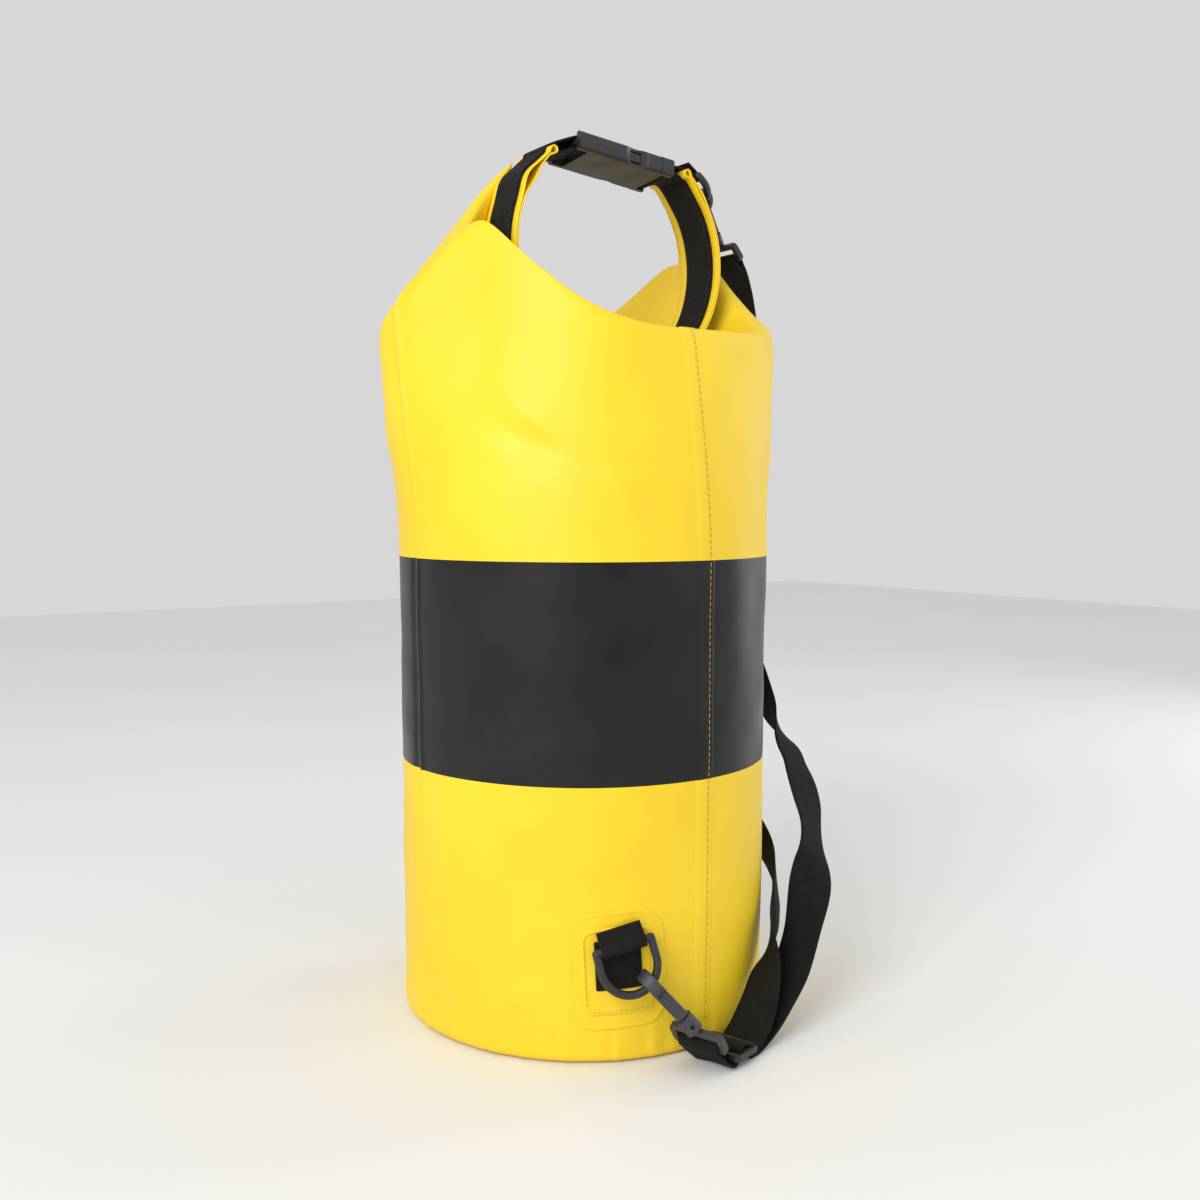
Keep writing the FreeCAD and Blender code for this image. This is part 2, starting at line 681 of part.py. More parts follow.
def bar_relief(name, x_from, x_to):
    """The two spaces above and below an end bar, which webbing goes round."""
    spaces = []
    for side in (-1, 1):
        low = 1.8 if side > 0 else -1.8 - 6.0
        spaces.append(primitive("Box", "%s%d" % (name, side + 2), at(x_from, -13.1, low),
                                Length="%g" % (x_to - x_from), Width="26.2", Height="6"))
    return spaces


def make_buckle():
    left, right, end = size("socket_left"), size("socket_right"), size("plug_right")
    bar, slot = size("end_bar"), size("buckle_slot")
    blank = buckle_block("socket", "socket_left", "socket_right", 2.6)
    spaces = bar_relief("socket_relief", left - 1, left + bar)
    spaces.append(primitive("Box", "socket_slot", at(left + bar, -13.1, -8),
                            Length="#buckle_slot", Width="26.2", Height="16"))
    spaces.append(primitive("Box", "socket_cavity", at(-14, -15, -3.6),
                            Length="#socket_right + 15", Width="30", Height="7.2"))
    for side in (-1, 1):
        scoop = primitive("Cylinder", "socket_scoop%d" % (side + 2),
                          at(10.0, side * (size("buckle_width") / 2 + 9.5), -8),
                          Radius="12.6", Height="16")
        spaces.append(scoop)
    node(cut("buckle_socket", blank, fuse("socket_spaces", *spaces)), "buckle_socket", BUCKLE)

    base = buckle_block("plug", "28.8", "plug_right", 2.0)
    relief = bar_relief("plug_relief", end - bar + 0.4, end + 1)
    relief.append(primitive("Box", "plug_slot", at(end - bar + 0.4 - 3.4, -13.1, -8),
                            Length="3.4", Width="26.2", Height="16"))
    cleared = cut("plug_base", base, fuse("plug_spaces", *relief))
    prong = primitive("Box", "plug_prong", at(-10, -3, -2.4), Length="39.5", Width="6", Height="4.8")
    node(fuse("buckle_plug", cleared, prong), "buckle_plug", BUCKLE)

    for name, side in (("release_arm_near", -1), ("release_arm_far", 1)):
        low = 10.2 if side > 0 else -12.4
        stem = primitive("Box", name + "_stem", at(4, low, -2.6), Length="24.4", Width="2.2",
                         Height="5.2")
        lobe_low = 10.2 if side > 0 else -14.6
        lobe = primitive("Box", name + "_lobe", at(4, lobe_low, -2.6), Length="12", Width="4.4",
                         Height="5.2")
        blank = fuse(name + "_blank", stem, lobe)
        node(rounded(name, blank, 1.4, lambda e: abs(e.Length - 5.2) < 0.01
                     and abs(abs(e.CenterOfMass.y) - 14.6) < 0.01), name, BUCKLE)


def make_tabs():
    """Webbing from each end of the mouth round the buckle's end bars."""
    across = BUCKLE.Rotation.multVec(Vec(0, 1, 0))
    middle = size("webbing_middle")
    left_bar = size("socket_left") + size("end_bar") / 2
    right_bar = size("plug_right") - size("end_bar") / 2 + 0.2
    for name, bar_x, side in (("left_tab", left_bar, -1), ("right_tab", right_bar, 1)):
        roll = Part.makeCylinder(4.0, 25, Vec(bar_x, -12.5, 0), Vec(0, 1, 0))
        hollow = Part.makeCylinder(2.7, 25, Vec(bar_x, -12.5, 0), Vec(0, 1, 0))
        near = BUCKLE.multVec(Vec(bar_x + side * 3.3, 0, 0))
        far = ring_point(side * (MOUTH_TURN + 1.6), size("ring_radius") + 0.2, middle)
        bend = (near + far) * 0.5 + UP * 0.8
        level = Vec(0, 1, 0)
        strap = ribbon([(near, across), (bend, (across + level) * 0.5), (far, level)],
                       2 * size("webbing"))
        eye_roll = roll.cut(hollow)
        eye_roll.Placement = BUCKLE
        hollow.Placement = BUCKLE
        node(freeform(name, eye_roll.fuse(strap.cut(hollow)).removeSplitter()), name)


# ---------------------------------------------------------------- shoulder strap
def strap_dir(along, height):
    """Point in the slider's own frame: along the strap from its middle, and above the floor."""
    point = SLIDER.multVec(Vec(along, 0, 0))
    return Vec(point.x, point.y, height)


def make_strap():
    thick = size("webbing")
    flat = Vec(SLIDER_ACROSS)
    upper_end = UPPER_EYE_RING.multVec(Vec(size("eye_deep") / 2 + 6.4, 0, 0))
    # main strap: from the upper eye down the right side, bulging out, to the slider
    main = [
        (upper_end, Vec(0, 1, 0)),
        (Vec(111, -14, 444), Vec(0, 1, 0.1)),
        (Vec(119, -10, 432), Vec(0, 1, 0.1)),
        (Vec(125, -6, 414), Vec(0, 1, 0)),
        (Vec(128, -1, 388), Vec(0, 1, 0)),
        (Vec(130, 6, 352), Vec(-0.05, 1, 0)),
        (Vec(131, 12, 310), Vec(-0.1, 1, 0)),
        (Vec(130, 12, 268), Vec(-0.1, 1, 0)),
        (Vec(127, 4, 228), Vec(0, 1, 0.1)),
        (Vec(124, -14, 194), Vec(0.1, 1, 0.3)),
        (Vec(121, -38, 164), Vec(0.2, 0.9, 0.6)),
        (Vec(118, -62, 138), Vec(0.3, 0.7, 0.75)),
        (Vec(113, -80, 112), Vec(0.4, 0.5, 0.8)),
        (Vec(104, -92, 84), Vec(0.5, 0.3, 0.75)),
        (Vec(88, -103, 56), Vec(0.55, 0.05, 0.7)),
        (Vec(68, -112, 32), Vec(0.55, -0.3, 0.5)),
        (Vec(51, -115, 16), Vec(0.5, -0.7, 0.3)),
        (Vec(37, -116.5, 5.5), Vec(0.4, -0.9, 0.08)),
        (strap_dir(17, 1.0), flat),
        (strap_dir(7.2, 1.0), flat),
    ]
    node(freeform("strap_main", ribbon(main, thick)), "strap_main")
    tail = [
        (strap_dir(7.2, 2.6), flat),
        (strap_dir(14, 3.0), flat),
        (Vec(33, -118, 11), Vec(0.45, -0.8, 0.2)),
        (Vec(45.5, -112.5, 25), Vec(0.5, -0.5, 0.6)),
        (Vec(61, -101.5, 43), Vec(0.4, 0.1, 0.8)),
        (Vec(80, -86.5, 61), Vec(0.3, 0.35, 0.8)),
        (Vec(97, -66, 76), Vec(0.2, 0.4, 0.85)),
        (Vec(109.5, -39, 87), Vec(0.1, 0.4, 0.9)),
        (Vec(115.5, -10, 92), Vec(0, 0.2, 1)),
        (Vec(114.5, 20, 88), Vec(0, -0.15, 1)),
        (Vec(107, 46, 76), Vec(0.1, -0.4, 0.9)),
        (Vec(95, 67, 58), Vec(0.2, -0.5, 0.8)),
        (Vec(83, 82, 37), Vec(0.3, -0.6, 0.7)),
    ]
    node(freeform("strap_tail", ribbon(tail, thick)), "strap_tail")
    upper_bar = UPPER_EYE_RING.multVec(Vec(size("eye_deep") / 2 - size("eye_bar") / 2, 0, 0))
    lower_bar = LOWER_EYE_RING.multVec(Vec(size("eye_deep") / 2 - size("eye_bar") / 2, 0, 0))
    for name, bar, across in (("strap_upper_fold", upper_bar, UPPER_EYE_RING),
                              ("strap_lower_fold", lower_bar, LOWER_EYE_RING)):
        axis = across.Rotation.multVec(Vec(0, 1, 0))
        start = bar - axis * size("webbing_width") / 2
        fold = Part.makeCylinder(2.6 + thick / 2, size("webbing_width"), start, axis)
        fold = fold.cut(Part.makeCylinder(2.6, size("webbing_width"), start, axis))
        node(freeform(name, fold), name)
    # doubled strap over the slider's middle bar and up to the lower eye
    loop_end = LOWER_EYE_RING.multVec(Vec(size("eye_deep") / 2 + 3.8, 0, 0))
    loop_bend = LOWER_EYE_RING.multVec(Vec(size("eye_deep") / 2 + 6.4, 0, 0))
    eye_across = LOWER_EYE_RING.Rotation.multVec(Vec(0, 1, 0))
    loop = [
        (strap_dir(5.1, 2.2), flat),
        (strap_dir(4.9, 6.9), flat),
        (strap_dir(3.4, 9.3), flat),
        (strap_dir(0, 9.9), flat),
        (strap_dir(-3.4, 9.3), flat),
        (strap_dir(-4.9, 6.9), flat),
        (strap_dir(-5.5, 3.6), flat),
        (strap_dir(-8.0, 2.2), flat),
        (strap_dir(-10.8, 2.6), flat),
        (loop_bend, eye_across),
        (loop_end, eye_across),
    ]
    node(freeform("strap_loop", ribbon(loop, 1.8 * thick, squared=False)), "strap_loop")
    print("strap: main %.0f mm, tail %.0f mm, loop %.0f mm doubled"
          % (run_length(main), run_length(tail), run_length(loop)))


# ---------------------------------------------------------------- build, test and write
for make in (make_wall, make_shoulders, make_mouth, make_patch, make_rings, make_hooks,
             make_slider, make_buckle, make_tabs, make_strap):
    make()
doc.recompute()

failed = [obj.Label for obj in doc.Objects if {"Invalid", "Error"} & set(obj.State)]
if failed:
    raise RuntimeError("objects that did not compute: %s" % failed)
for obj in nodes:
    if obj.Shape.isNull() or not obj.Shape.isValid() or not obj.Shape.Solids:
        raise RuntimeError("%s has no valid solid" % obj.Label)

os.makedirs("parts", exist_ok=True)
for obj in nodes:
    obj.Shape.exportStep("parts/%s.step" % obj.Label)
    print("%-18s %d solid(s) %9.1f mm3" % (obj.Label, len(obj.Shape.Solids), obj.Shape.Volume))
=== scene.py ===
import json
import math

import bpy
import numpy as np
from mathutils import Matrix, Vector, noise

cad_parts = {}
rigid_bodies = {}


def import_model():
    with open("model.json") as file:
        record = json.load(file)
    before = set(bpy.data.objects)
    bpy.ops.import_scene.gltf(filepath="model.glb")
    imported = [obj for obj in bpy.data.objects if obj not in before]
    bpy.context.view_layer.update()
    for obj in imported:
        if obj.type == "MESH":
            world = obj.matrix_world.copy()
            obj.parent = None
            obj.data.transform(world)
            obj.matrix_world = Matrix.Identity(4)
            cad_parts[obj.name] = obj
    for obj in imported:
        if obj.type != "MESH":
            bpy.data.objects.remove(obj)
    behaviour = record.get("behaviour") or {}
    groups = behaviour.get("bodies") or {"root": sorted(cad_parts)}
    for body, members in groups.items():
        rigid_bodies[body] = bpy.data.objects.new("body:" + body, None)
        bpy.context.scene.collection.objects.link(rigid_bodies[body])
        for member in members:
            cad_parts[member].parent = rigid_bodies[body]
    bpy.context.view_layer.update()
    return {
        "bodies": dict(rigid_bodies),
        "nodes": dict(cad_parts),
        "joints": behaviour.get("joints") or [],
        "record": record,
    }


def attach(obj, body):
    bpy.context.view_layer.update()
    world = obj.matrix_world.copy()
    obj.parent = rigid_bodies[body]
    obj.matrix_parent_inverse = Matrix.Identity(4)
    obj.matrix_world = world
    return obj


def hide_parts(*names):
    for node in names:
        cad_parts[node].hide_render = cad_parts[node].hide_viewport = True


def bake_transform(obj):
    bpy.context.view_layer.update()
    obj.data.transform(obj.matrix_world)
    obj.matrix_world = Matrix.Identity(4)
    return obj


# A roll-top dry bag: coated fabric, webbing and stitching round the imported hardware.
# Lengths below are in millimetres in the row frame, and become metres as each mesh is made.

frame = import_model()
NODES = frame["nodes"]
MM = 0.001


def vec(*values):
    return np.array(values, float)


def unit(v):
    v = np.asarray(v, float)
    return v / max(np.linalg.norm(v), 1e-12)


# ---------------------------------------------------------------- materials
def new_material(name, base, rough, **sockets):
    material = bpy.data.materials.new(name)
    material.use_nodes = True
    shader = material.node_tree.nodes["Principled BSDF"]
    shader.inputs["Base Color"].default_value = (*base, 1.0)
    shader.inputs["Roughness"].default_value = rough
    for key, value in sockets.items():
        shader.inputs[key.replace("_", " ")].default_value = value
    return material, material.node_tree, shader


def add_node(tree, kind, **values):
    made = tree.nodes.new("ShaderNode" + kind)
    for key, value in values.items():
        if key in made.inputs.keys():
            made.inputs[key].default_value = value
        else:
            setattr(made, key, value)
    return made


def mottle(tree, shader, dark, light, scale, source="Object"):
    """Base colour that wanders gently between two colours."""
    coords = add_node(tree, "TexCoord")
    clouds = add_node(tree, "TexNoise", Scale=scale, Detail=3.0, Roughness=0.55)
    ramp = add_node(tree, "ValToRGB")
    ramp.color_ramp.elements[0].position = 0.3
    ramp.color_ramp.elements[0].color = (*dark, 1.0)
    ramp.color_ramp.elements[1].position = 0.7
    ramp.color_ramp.elements[1].color = (*light, 1.0)
    tree.links.new(coords.outputs[source], clouds.inputs["Vector"])
    tree.links.new(clouds.outputs["Fac"], ramp.inputs["Fac"])
    tree.links.new(ramp.outputs["Color"], shader.inputs["Base Color"])
    return coords


def gloss_range(tree, shader, coords, low, high, scale):
    """Roughness that wanders between two values."""
    clouds = add_node(tree, "TexNoise", Scale=scale, Detail=2.0)
    spread = add_node(tree, "MapRange")
    spread.inputs["From Min"].default_value = 0.3
    spread.inputs["From Max"].default_value = 0.7
    spread.inputs["To Min"].default_value = low
    spread.inputs["To Max"].default_value = high
    tree.links.new(coords.outputs["Object"], clouds.inputs["Vector"])
    tree.links.new(clouds.outputs["Fac"], spread.inputs["Value"])
    tree.links.new(spread.outputs["Result"], shader.inputs["Roughness"])


def weave_bump(tree, shader, coords, period, turns, depth, strength, grain=None):
    """Bump of crossing threads over the piece's UV map, which is in metres."""
    waves = []
    for turn in turns:
        mapping = add_node(tree, "Mapping")
        mapping.inputs["Rotation"].default_value = (0, 0, math.radians(turn))
        wave = add_node(tree, "TexWave", Scale=0.3142 / period, Distortion=0.0)
        wave.bands_direction = "X"
        tree.links.new(coords.outputs["UV"], mapping.inputs["Vector"])
        tree.links.new(mapping.outputs["Vector"], wave.inputs["Vector"])
        waves.append(wave.outputs["Fac"])
    height = waves[0]
    if len(waves) > 1:
        both = add_node(tree, "Math", operation="MAXIMUM")
        tree.links.new(waves[0], both.inputs[0])
        tree.links.new(waves[1], both.inputs[1])
        height = both.outputs[0]
    if grain is not None:
        fine = add_node(tree, "TexNoise", Scale=grain, Detail=2.0)
        total = add_node(tree, "Math", operation="MULTIPLY_ADD")
        total.inputs[1].default_value = 0.8
        tree.links.new(coords.outputs["Object"], fine.inputs["Vector"])
        tree.links.new(fine.outputs["Fac"], total.inputs[0])
        tree.links.new(height, total.inputs[2])
        height = total.outputs[0]
    bump = add_node(tree, "Bump", Strength=strength, Distance=depth)
    tree.links.new(height, bump.inputs["Height"])
    tree.links.new(bump.outputs["Normal"], shader.inputs["Normal"])


def make_materials():
    made = {}
    material, tree, shader = new_material("yellow_pvc", (0.90, 0.63, 0.012), 0.42)
    coords = mottle(tree, shader, (0.87, 0.585, 0.008), (0.93, 0.665, 0.014), 9.0)
    gloss_range(tree, shader, coords, 0.44, 0.56, 14.0)
    weave_bump(tree, shader, coords, 0.0011, (0, 90), 0.00004, 0.35)
    made["yellow_pvc"] = material

    material, tree, shader = new_material("black_pvc", (0.014, 0.014, 0.015), 0.36, Specular_IOR_Level=0.27)
    coords = mottle(tree, shader, (0.006, 0.006, 0.0066), (0.014, 0.014, 0.0152), 16.0)
    gloss_range(tree, shader, coords, 0.30, 0.42, 22.0)
    weave_bump(tree, shader, coords, 0.0014, (38, -38), 0.00006, 0.5)
    made["black_pvc"] = material

    material, tree, shader = new_material("webbing", (0.007, 0.0065, 0.006), 0.85, Specular_IOR_Level=0.25)
    coords = mottle(tree, shader, (0.005, 0.0046, 0.0042), (0.010, 0.0092, 0.0084), 160.0)
    weave_bump(tree, shader, coords, 0.0016, (90, 12), 0.0003, 0.8, grain=2600.0)
    made["webbing"] = material

    for name, dark, light, rough in (
            ("black_plastic", (0.014, 0.014, 0.016), (0.022, 0.022, 0.025), 0.42),
            ("grey_plastic", (0.032, 0.033, 0.039), (0.046, 0.047, 0.056), 0.46)):
        material, tree, shader = new_material(name, light, rough)
        coords = mottle(tree, shader, dark, light, 60.0)
        gloss_range(tree, shader, coords, rough - 0.06, rough + 0.06, 90.0)
        fine = add_node(tree, "TexNoise", Scale=1500.0, Detail=2.0)
        bump = add_node(tree, "Bump", Strength=0.25, Distance=0.00005)
        tree.links.new(coords.outputs["Object"], fine.inputs["Vector"])
        tree.links.new(fine.outputs["Fac"], bump.inputs["Height"])
        tree.links.new(bump.outputs["Normal"], shader.inputs["Normal"])
        made[name] = material

    for name, dark, light in (("ochre_thread", (0.50, 0.29, 0.01), (0.62, 0.38, 0.02)),
                              ("black_thread", (0.02, 0.02, 0.02), (0.05, 0.05, 0.05))):
        material, tree, shader = new_material(name, light, 0.7)
        mottle(tree, shader, dark, light, 700.0)
        made[name] = material
    return made


MATERIALS = make_materials()


# ---------------------------------------------------------------- mesh helpers
def piece(name, points, faces, material, uv=None, replaces=(), body="bag", slot=None, ride=True):
    """Mesh from points in millimetres; uv gives one pair in metres for each point."""
    mesh = bpy.data.meshes.new(name)
    mesh.from_pydata([tuple(p) for p in np.asarray(points, float) * MM], [], faces)
    mesh.update()
    mesh.polygons.foreach_set("use_smooth", [True] * len(mesh.polygons))
    if uv is not None:
        layer = mesh.uv_layers.new(name="UVMap")
        corner = np.zeros(len(mesh.loops), np.int32)
        mesh.loops.foreach_get("vertex_index", corner)
        layer.data.foreach_set("uv", np.asarray(uv, float)[corner].astype(np.float32).ravel())
    mesh.materials.append(MATERIALS[material])
    obj = bpy.data.objects.new(name, mesh)
    bpy.context.scene.collection.objects.link(obj)
    if ride:
        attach(obj, body)
    if replaces:
        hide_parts(*replaces)
    return obj


def grid_faces(rows, columns, around=False, flip=False, start=0):
    """Quads of a grid of points stored row by row."""
    faces = []
    last = columns if around else columns - 1
    for i in range(rows - 1):
        for j in range(last):
            k = (j + 1) % columns
            quad = (start + i * columns + j, start + i * columns + k,
                    start + (i + 1) * columns + k, start + (i + 1) * columns + j)
            faces.append(quad[::-1] if flip else quad)
    return faces


def through(points, steps):
    """Points of a smooth curve through the given rows of numbers, steps to each span."""
    rows = np.asarray(points, float)
    padded = np.vstack([2 * rows[0] - rows[1], rows, 2 * rows[-1] - rows[-2]])
    made = []
    for i in range(1, len(padded) - 2):
        a, b, c, d = padded[i - 1:i + 3]
        for t in np.arange(steps) / steps:
            made.append(0.5 * (2 * b + (c - a) * t + (2 * a - 5 * b + 4 * c - d) * t * t
                               + (3 * b - a - 3 * c + d) * t ** 3))
    made.append(rows[-1])
    return np.array(made)


def smooth_step(value, low, high):
    t = min(max((value - low) / (high - low), 0.0), 1.0)
    return t * t * (3 - 2 * t)


# ---------------------------------------------------------------- the bag's skin
BASE_RADIUS, FOOT_RADIUS, HEAD_RADIUS = 107.6, 109.4, 111.8
BAND_FOOT, BAND_HEAD = 148.0, 268.0
RING_RADIUS, RING_HEIGHT = 73.0, 445.6
MOUTH_BACK, MOUTH_FRONT = -6.0, -43.0
MOUTH_TURN = 137.0                # half the arc that the mouth takes up on its circle, in degrees
SLOPE_OFF, NECK_OFF = 16.0, 9.5   # how far the inner slope and its neck keep outside that circle
BACK_FADE = 0.5                   # quarters of a turn behind the creases over which both fade
TIP_OFF = 1.5                     # how far the mouth's own edge moves out at the two creases
NECK_BACK = 8.0                   # how far the back wall's neck stays behind the front wall's edge
POLES = 48
AROUND = 720                      # points round the skin
DEGREES = np.arange(AROUND) * 360.0 / AROUND - 180.0
SEAM_AT = 5.5                     # where the weld's edge lies, in degrees from the front centre
OVERLAP = 4.4                     # how far the weld runs left of it, in degrees
STITCH_AT = SEAM_AT - 0.6
RIM = np.array([
    (0, -95, 397.5), (38, -91, 398.5), (76, -78, 400.5), (105, -56, 404),
    (119, -22, 409), (88, 5, 452), (74, 32, 447), (50, 72, 414),
    (14, 94, 392), (-32, 95, 389), (-76, 80, 394), (-108, 54, 401),
    (-121, 16, 411), (-94, -19, 452), (-84, -42, 451), (-52, -84, 408)], float)
SPREAD = 1.0 / (1.0 - (1.0 - math.cos(2 * math.pi / POLES)) / 3.0)


def periodic_weights(t, count):
    """Indices and weights of the uniform periodic cubic spline at t; pole i is at t = i."""
    cell = int(math.floor(t))
    f = t - cell
    weights = ((1 - f) ** 3 / 6, (3 * f ** 3 - 6 * f * f + 4) / 6,
               (-3 * f ** 3 + 3 * f * f + 3 * f + 1) / 6, f ** 3 / 6)
    return [(cell + k - 1) % count for k in range(4)], weights


def clamped_weights(t, rows):
    """Weights of the clamped uniform cubic spline's poles at t, from 0 to rows - 3."""
    spans = rows - 3
    knots = [0] * 3 + list(range(spans + 1)) + [spans] * 3
    t = min(t, spans - 1e-9)
    values = [1.0 if knots[i] <= t < knots[i + 1] else 0.0 for i in range(rows + 3)]
    for degree in (1, 2, 3):
        for i in range(rows + 3 - degree):
            left = knots[i + degree] - knots[i]
            right = knots[i + degree + 1] - knots[i + 1]
            value = (t - knots[i]) / left * values[i] if left else 0.0
            if right:
                value += (knots[i + degree + 1] - t) / right * values[i + 1]
            values[i] = value
    return np.array(values[:rows])


def rim_poles():
    """Poles of the closed curve through RIM."""
    count = len(RIM)
    matrix = np.zeros((count, count))
    for i in range(count):
        matrix[i, i] = 4 / 6
        matrix[i, (i - 1) % count] = matrix[i, (i + 1) % count] = 1 / 6
    return np.linalg.solve(matrix, RIM)


RIM_POLES = rim_poles()


def rim_point(part_round):
    which, weights = periodic_weights(part_round * len(RIM), len(RIM))
    return sum(w * RIM_POLES[k] for k, w in zip(which, weights))


def ring_point(turn, radius, y):
    """Point on the mouth ring: turn in degrees from its lowest point towards +X."""
    angle = math.radians(turn)
    return vec(radius * math.sin(angle), y, RING_HEIGHT - radius * math.cos(angle))


def pushed_out(point, radius):
    """The point, moved away from the mouth ring's axis to at least this radius."""
    centre = vec(0, point[1], RING_HEIGHT)
    spoke = point - centre
    return centre + spoke * max(1.0, radius / np.linalg.norm(spoke))


def shoulder_poles():
    """The same poles as the CAD shoulders' outer skin."""
    columns = []
    for i in range(POLES):
        part_round = i / POLES
        signed = part_round if part_round <= 0.5 else part_round - 1.0
        quarters = abs(signed) * 4.0
        angle = 2 * math.pi * part_round
        spoke = vec(math.sin(angle), -math.cos(angle), 0)
        foot = spoke * HEAD_RADIUS * SPREAD + vec(0, 0, BAND_HEAD)
        rim = rim_point(part_round)
        share = min(quarters, 2.0 - quarters)
        radius = RING_RADIUS + 3.4 if quarters < 1.001 else RING_RADIUS - 1.0
        if share > 0.999:
            radius += TIP_OFF
        mouth = ring_point(math.copysign(share * (MOUTH_TURN + 1.6), signed), radius, MOUTH_BACK)
        hold = 1.0 if quarters <= 1.0 else max(0.0, 1.0 - (quarters - 1.0) / BACK_FADE)
        sag = 0.0 if quarters <= 1.0 else 6.0 * (quarters - 1.0)
        slope = pushed_out((rim + mouth) / 2 - vec(0, 0, sag), (RING_RADIUS + SLOPE_OFF) * hold)
        neck = mouth + (slope - mouth) * 0.4
        if hold > 0.0:
            neck = pushed_out(neck, RING_RADIUS - 1.0 + NECK_OFF * hold)
        if quarters > 0.999:
            neck[1] = max(neck[1], MOUTH_BACK + NECK_BACK)
        chest = foot + (rim - foot) * 0.55 + spoke * 3.0
        rise, fall = unit(rim - chest), unit(slope - rim)
        crest = rim + (rise - fall) * 1.75
        columns.append([foot, foot + vec(0, 0, 22), chest, crest - rise * 16.8, crest,
                        crest + fall * 11.2, slope, neck, mouth])
    return np.array(columns)


# angle from the front centre, height, half width in degrees, half height, depth, slant in mm per degree
DENTS = (
    (-47, 352, 9, 11, 1.7, -0.5), (-46, 333, 9, 9, -2.2, -0.6), (-20, 309, 7, 9, 1.5, -0.7),
    (-13, 297, 6, 8, -1.9, -0.9), (-30, 318, 14, 6, -0.9, -0.9), (-62, 372, 8, 16, -1.3, 0.8),
    (18, 352, 12, 16, -0.8, 0.5), (60, 330, 14, 18, 1.2, 0.4), (110, 340, 13, 16, -1.8, -0.6),
    (150, 322, 16, 14, 1.5, 0.5), (-150, 330, 15, 15, -1.6, 0.6), (-115, 345, 12, 14, 1.4, -0.5),
    (-60, 232, 12, 22, -0.8, 0.3), (-22, 205, 10, 16, 0.8, -0.4), (40, 215, 14, 20, -0.7, 0.5),
    (-70, 60, 10, 14, -1.1, 0.9), (-52, 34, 10, 7, 1.0, 0.7), (-15, 92, 14, 16, -0.7, 0.3),
    (30, 70, 12, 18, 0.8, -0.5), (125, 90, 15, 22, -1.3, 0.5), (-130, 100, 15, 20, 1.0, -0.6),
    (175, 60, 12, 18, -1.0, 0.4), (-95, 130, 8, 24, 0.8, 0.2),
)


def bell(value, middle, spread):
    return math.exp(-((value - middle) / spread) ** 2)


def folds(degrees, height):
    """Soft dents and folds of the wall, in millimetres outwards."""
    lift = 0.0
    for where, level, wide, tall, depth, slant in DENTS:
        across = degrees - where
        up = height - level - slant * across
        lift += depth * math.exp(-(across / wide) ** 2 - (up / tall) ** 2)
    return lift


def relief(degrees, height, where):
    """How far the skin stands off the plain shape at this angle and height, in millimetres."""
    lift = folds(degrees, height)
    cloud = Vector((where[0] * 0.016, where[1] * 0.016, where[2] * 0.016))
    lift += 0.7 * noise.noise(cloud) + 0.25 * noise.noise(cloud * 3.1)
    if height > 15:
        weld = smooth_step(degrees, SEAM_AT - OVERLAP - 0.35, SEAM_AT - OVERLAP)
        lift += 0.5 * weld * (1 - smooth_step(degrees, SEAM_AT + 0.5, SEAM_AT + 0.9))
        lift -= 0.35 * bell(degrees, STITCH_AT, 0.45)
    for side, depth in ((-90.0, 1.0), (90.0, 0.7)):
        crease = side + 1.6 * math.sin(height * 0.021)
        lift += depth * (bell(degrees, crease, 1.1) - 1.1 * bell(degrees, crease - 3.0, 2.0))
    pucker = math.exp(-abs(height - 9) / 9.0)
    angle = math.radians(degrees)
    ripple = noise.noise(Vector((math.cos(angle) * 9, math.sin(angle) * 9, 3.0)))
    lift += pucker * (0.9 * ripple + 0.35 * math.sin(angle * 46 + 4 * ripple))
    return lift


def wall_radius(height):
    if height < BAND_FOOT:
        return BASE_RADIUS + (FOOT_RADIUS - BASE_RADIUS) * max(height - 5.0, 0.0) / (BAND_FOOT - 5.0)
    return FOOT_RADIUS + (HEAD_RADIUS - FOOT_RADIUS) * (height - BAND_FOOT) / (BAND_HEAD - BAND_FOOT)


def wall_point(degrees, height, lift=0.0):
    """Point of the finished wall, lift millimetres off it."""
    angle = math.radians(degrees)
    spoke = vec(math.sin(angle), -math.cos(angle), 0)
    plain = spoke * wall_radius(height) + vec(0, 0, height)
    return plain + spoke * (relief(degrees, height, plain) + lift)


def band_rows(name, heights, material, replaces, foot=None):
    """A stretch of the wall between two heights, with an optional turned-in foot."""
    points, uv = [], []
    for radius, height in foot or []:
        for a in DEGREES:
            spoke = vec(math.sin(math.radians(a)), -math.cos(math.radians(a)), 0)
            plain = spoke * radius + vec(0, 0, height)
            share = smooth_step(radius, BASE_RADIUS - 8, BASE_RADIUS)
            points.append(plain + spoke * relief(a, height, plain) * share)
            uv.append((math.radians(a) * 0.11, radius * MM - 0.11))
    for height in heights:
        for a in DEGREES:
            points.append(wall_point(a, height))
            uv.append((math.radians(a) * 0.11, height * MM))
    rows = len(points) // AROUND
    faces = grid_faces(rows, AROUND, around=True)
    if foot:
        points.append(vec(0, 0, foot[0][1]))
        uv.append((0.0, -0.11))
        faces += [(len(points) - 1, (j + 1) % AROUND, j) for j in range(AROUND)]
    piece(name, points, faces, material, uv, replaces)


def make_wall():
    foot = [(30, 0.9), (60, 0.8), (84, 0.7), (95, 0.5), (100, 0.3), (102.4, 0.25), (104.6, 0.7),
            (106.1, 1.7), (107.0, 3.0)]
    band_rows("lower_skin", np.linspace(4.6, BAND_FOOT, 84), "yellow_pvc", ("base_disc", "lower_panel"), foot)
    band_rows("band_skin", np.linspace(BAND_FOOT, BAND_HEAD, 70), "black_pvc", ("band_panel",))


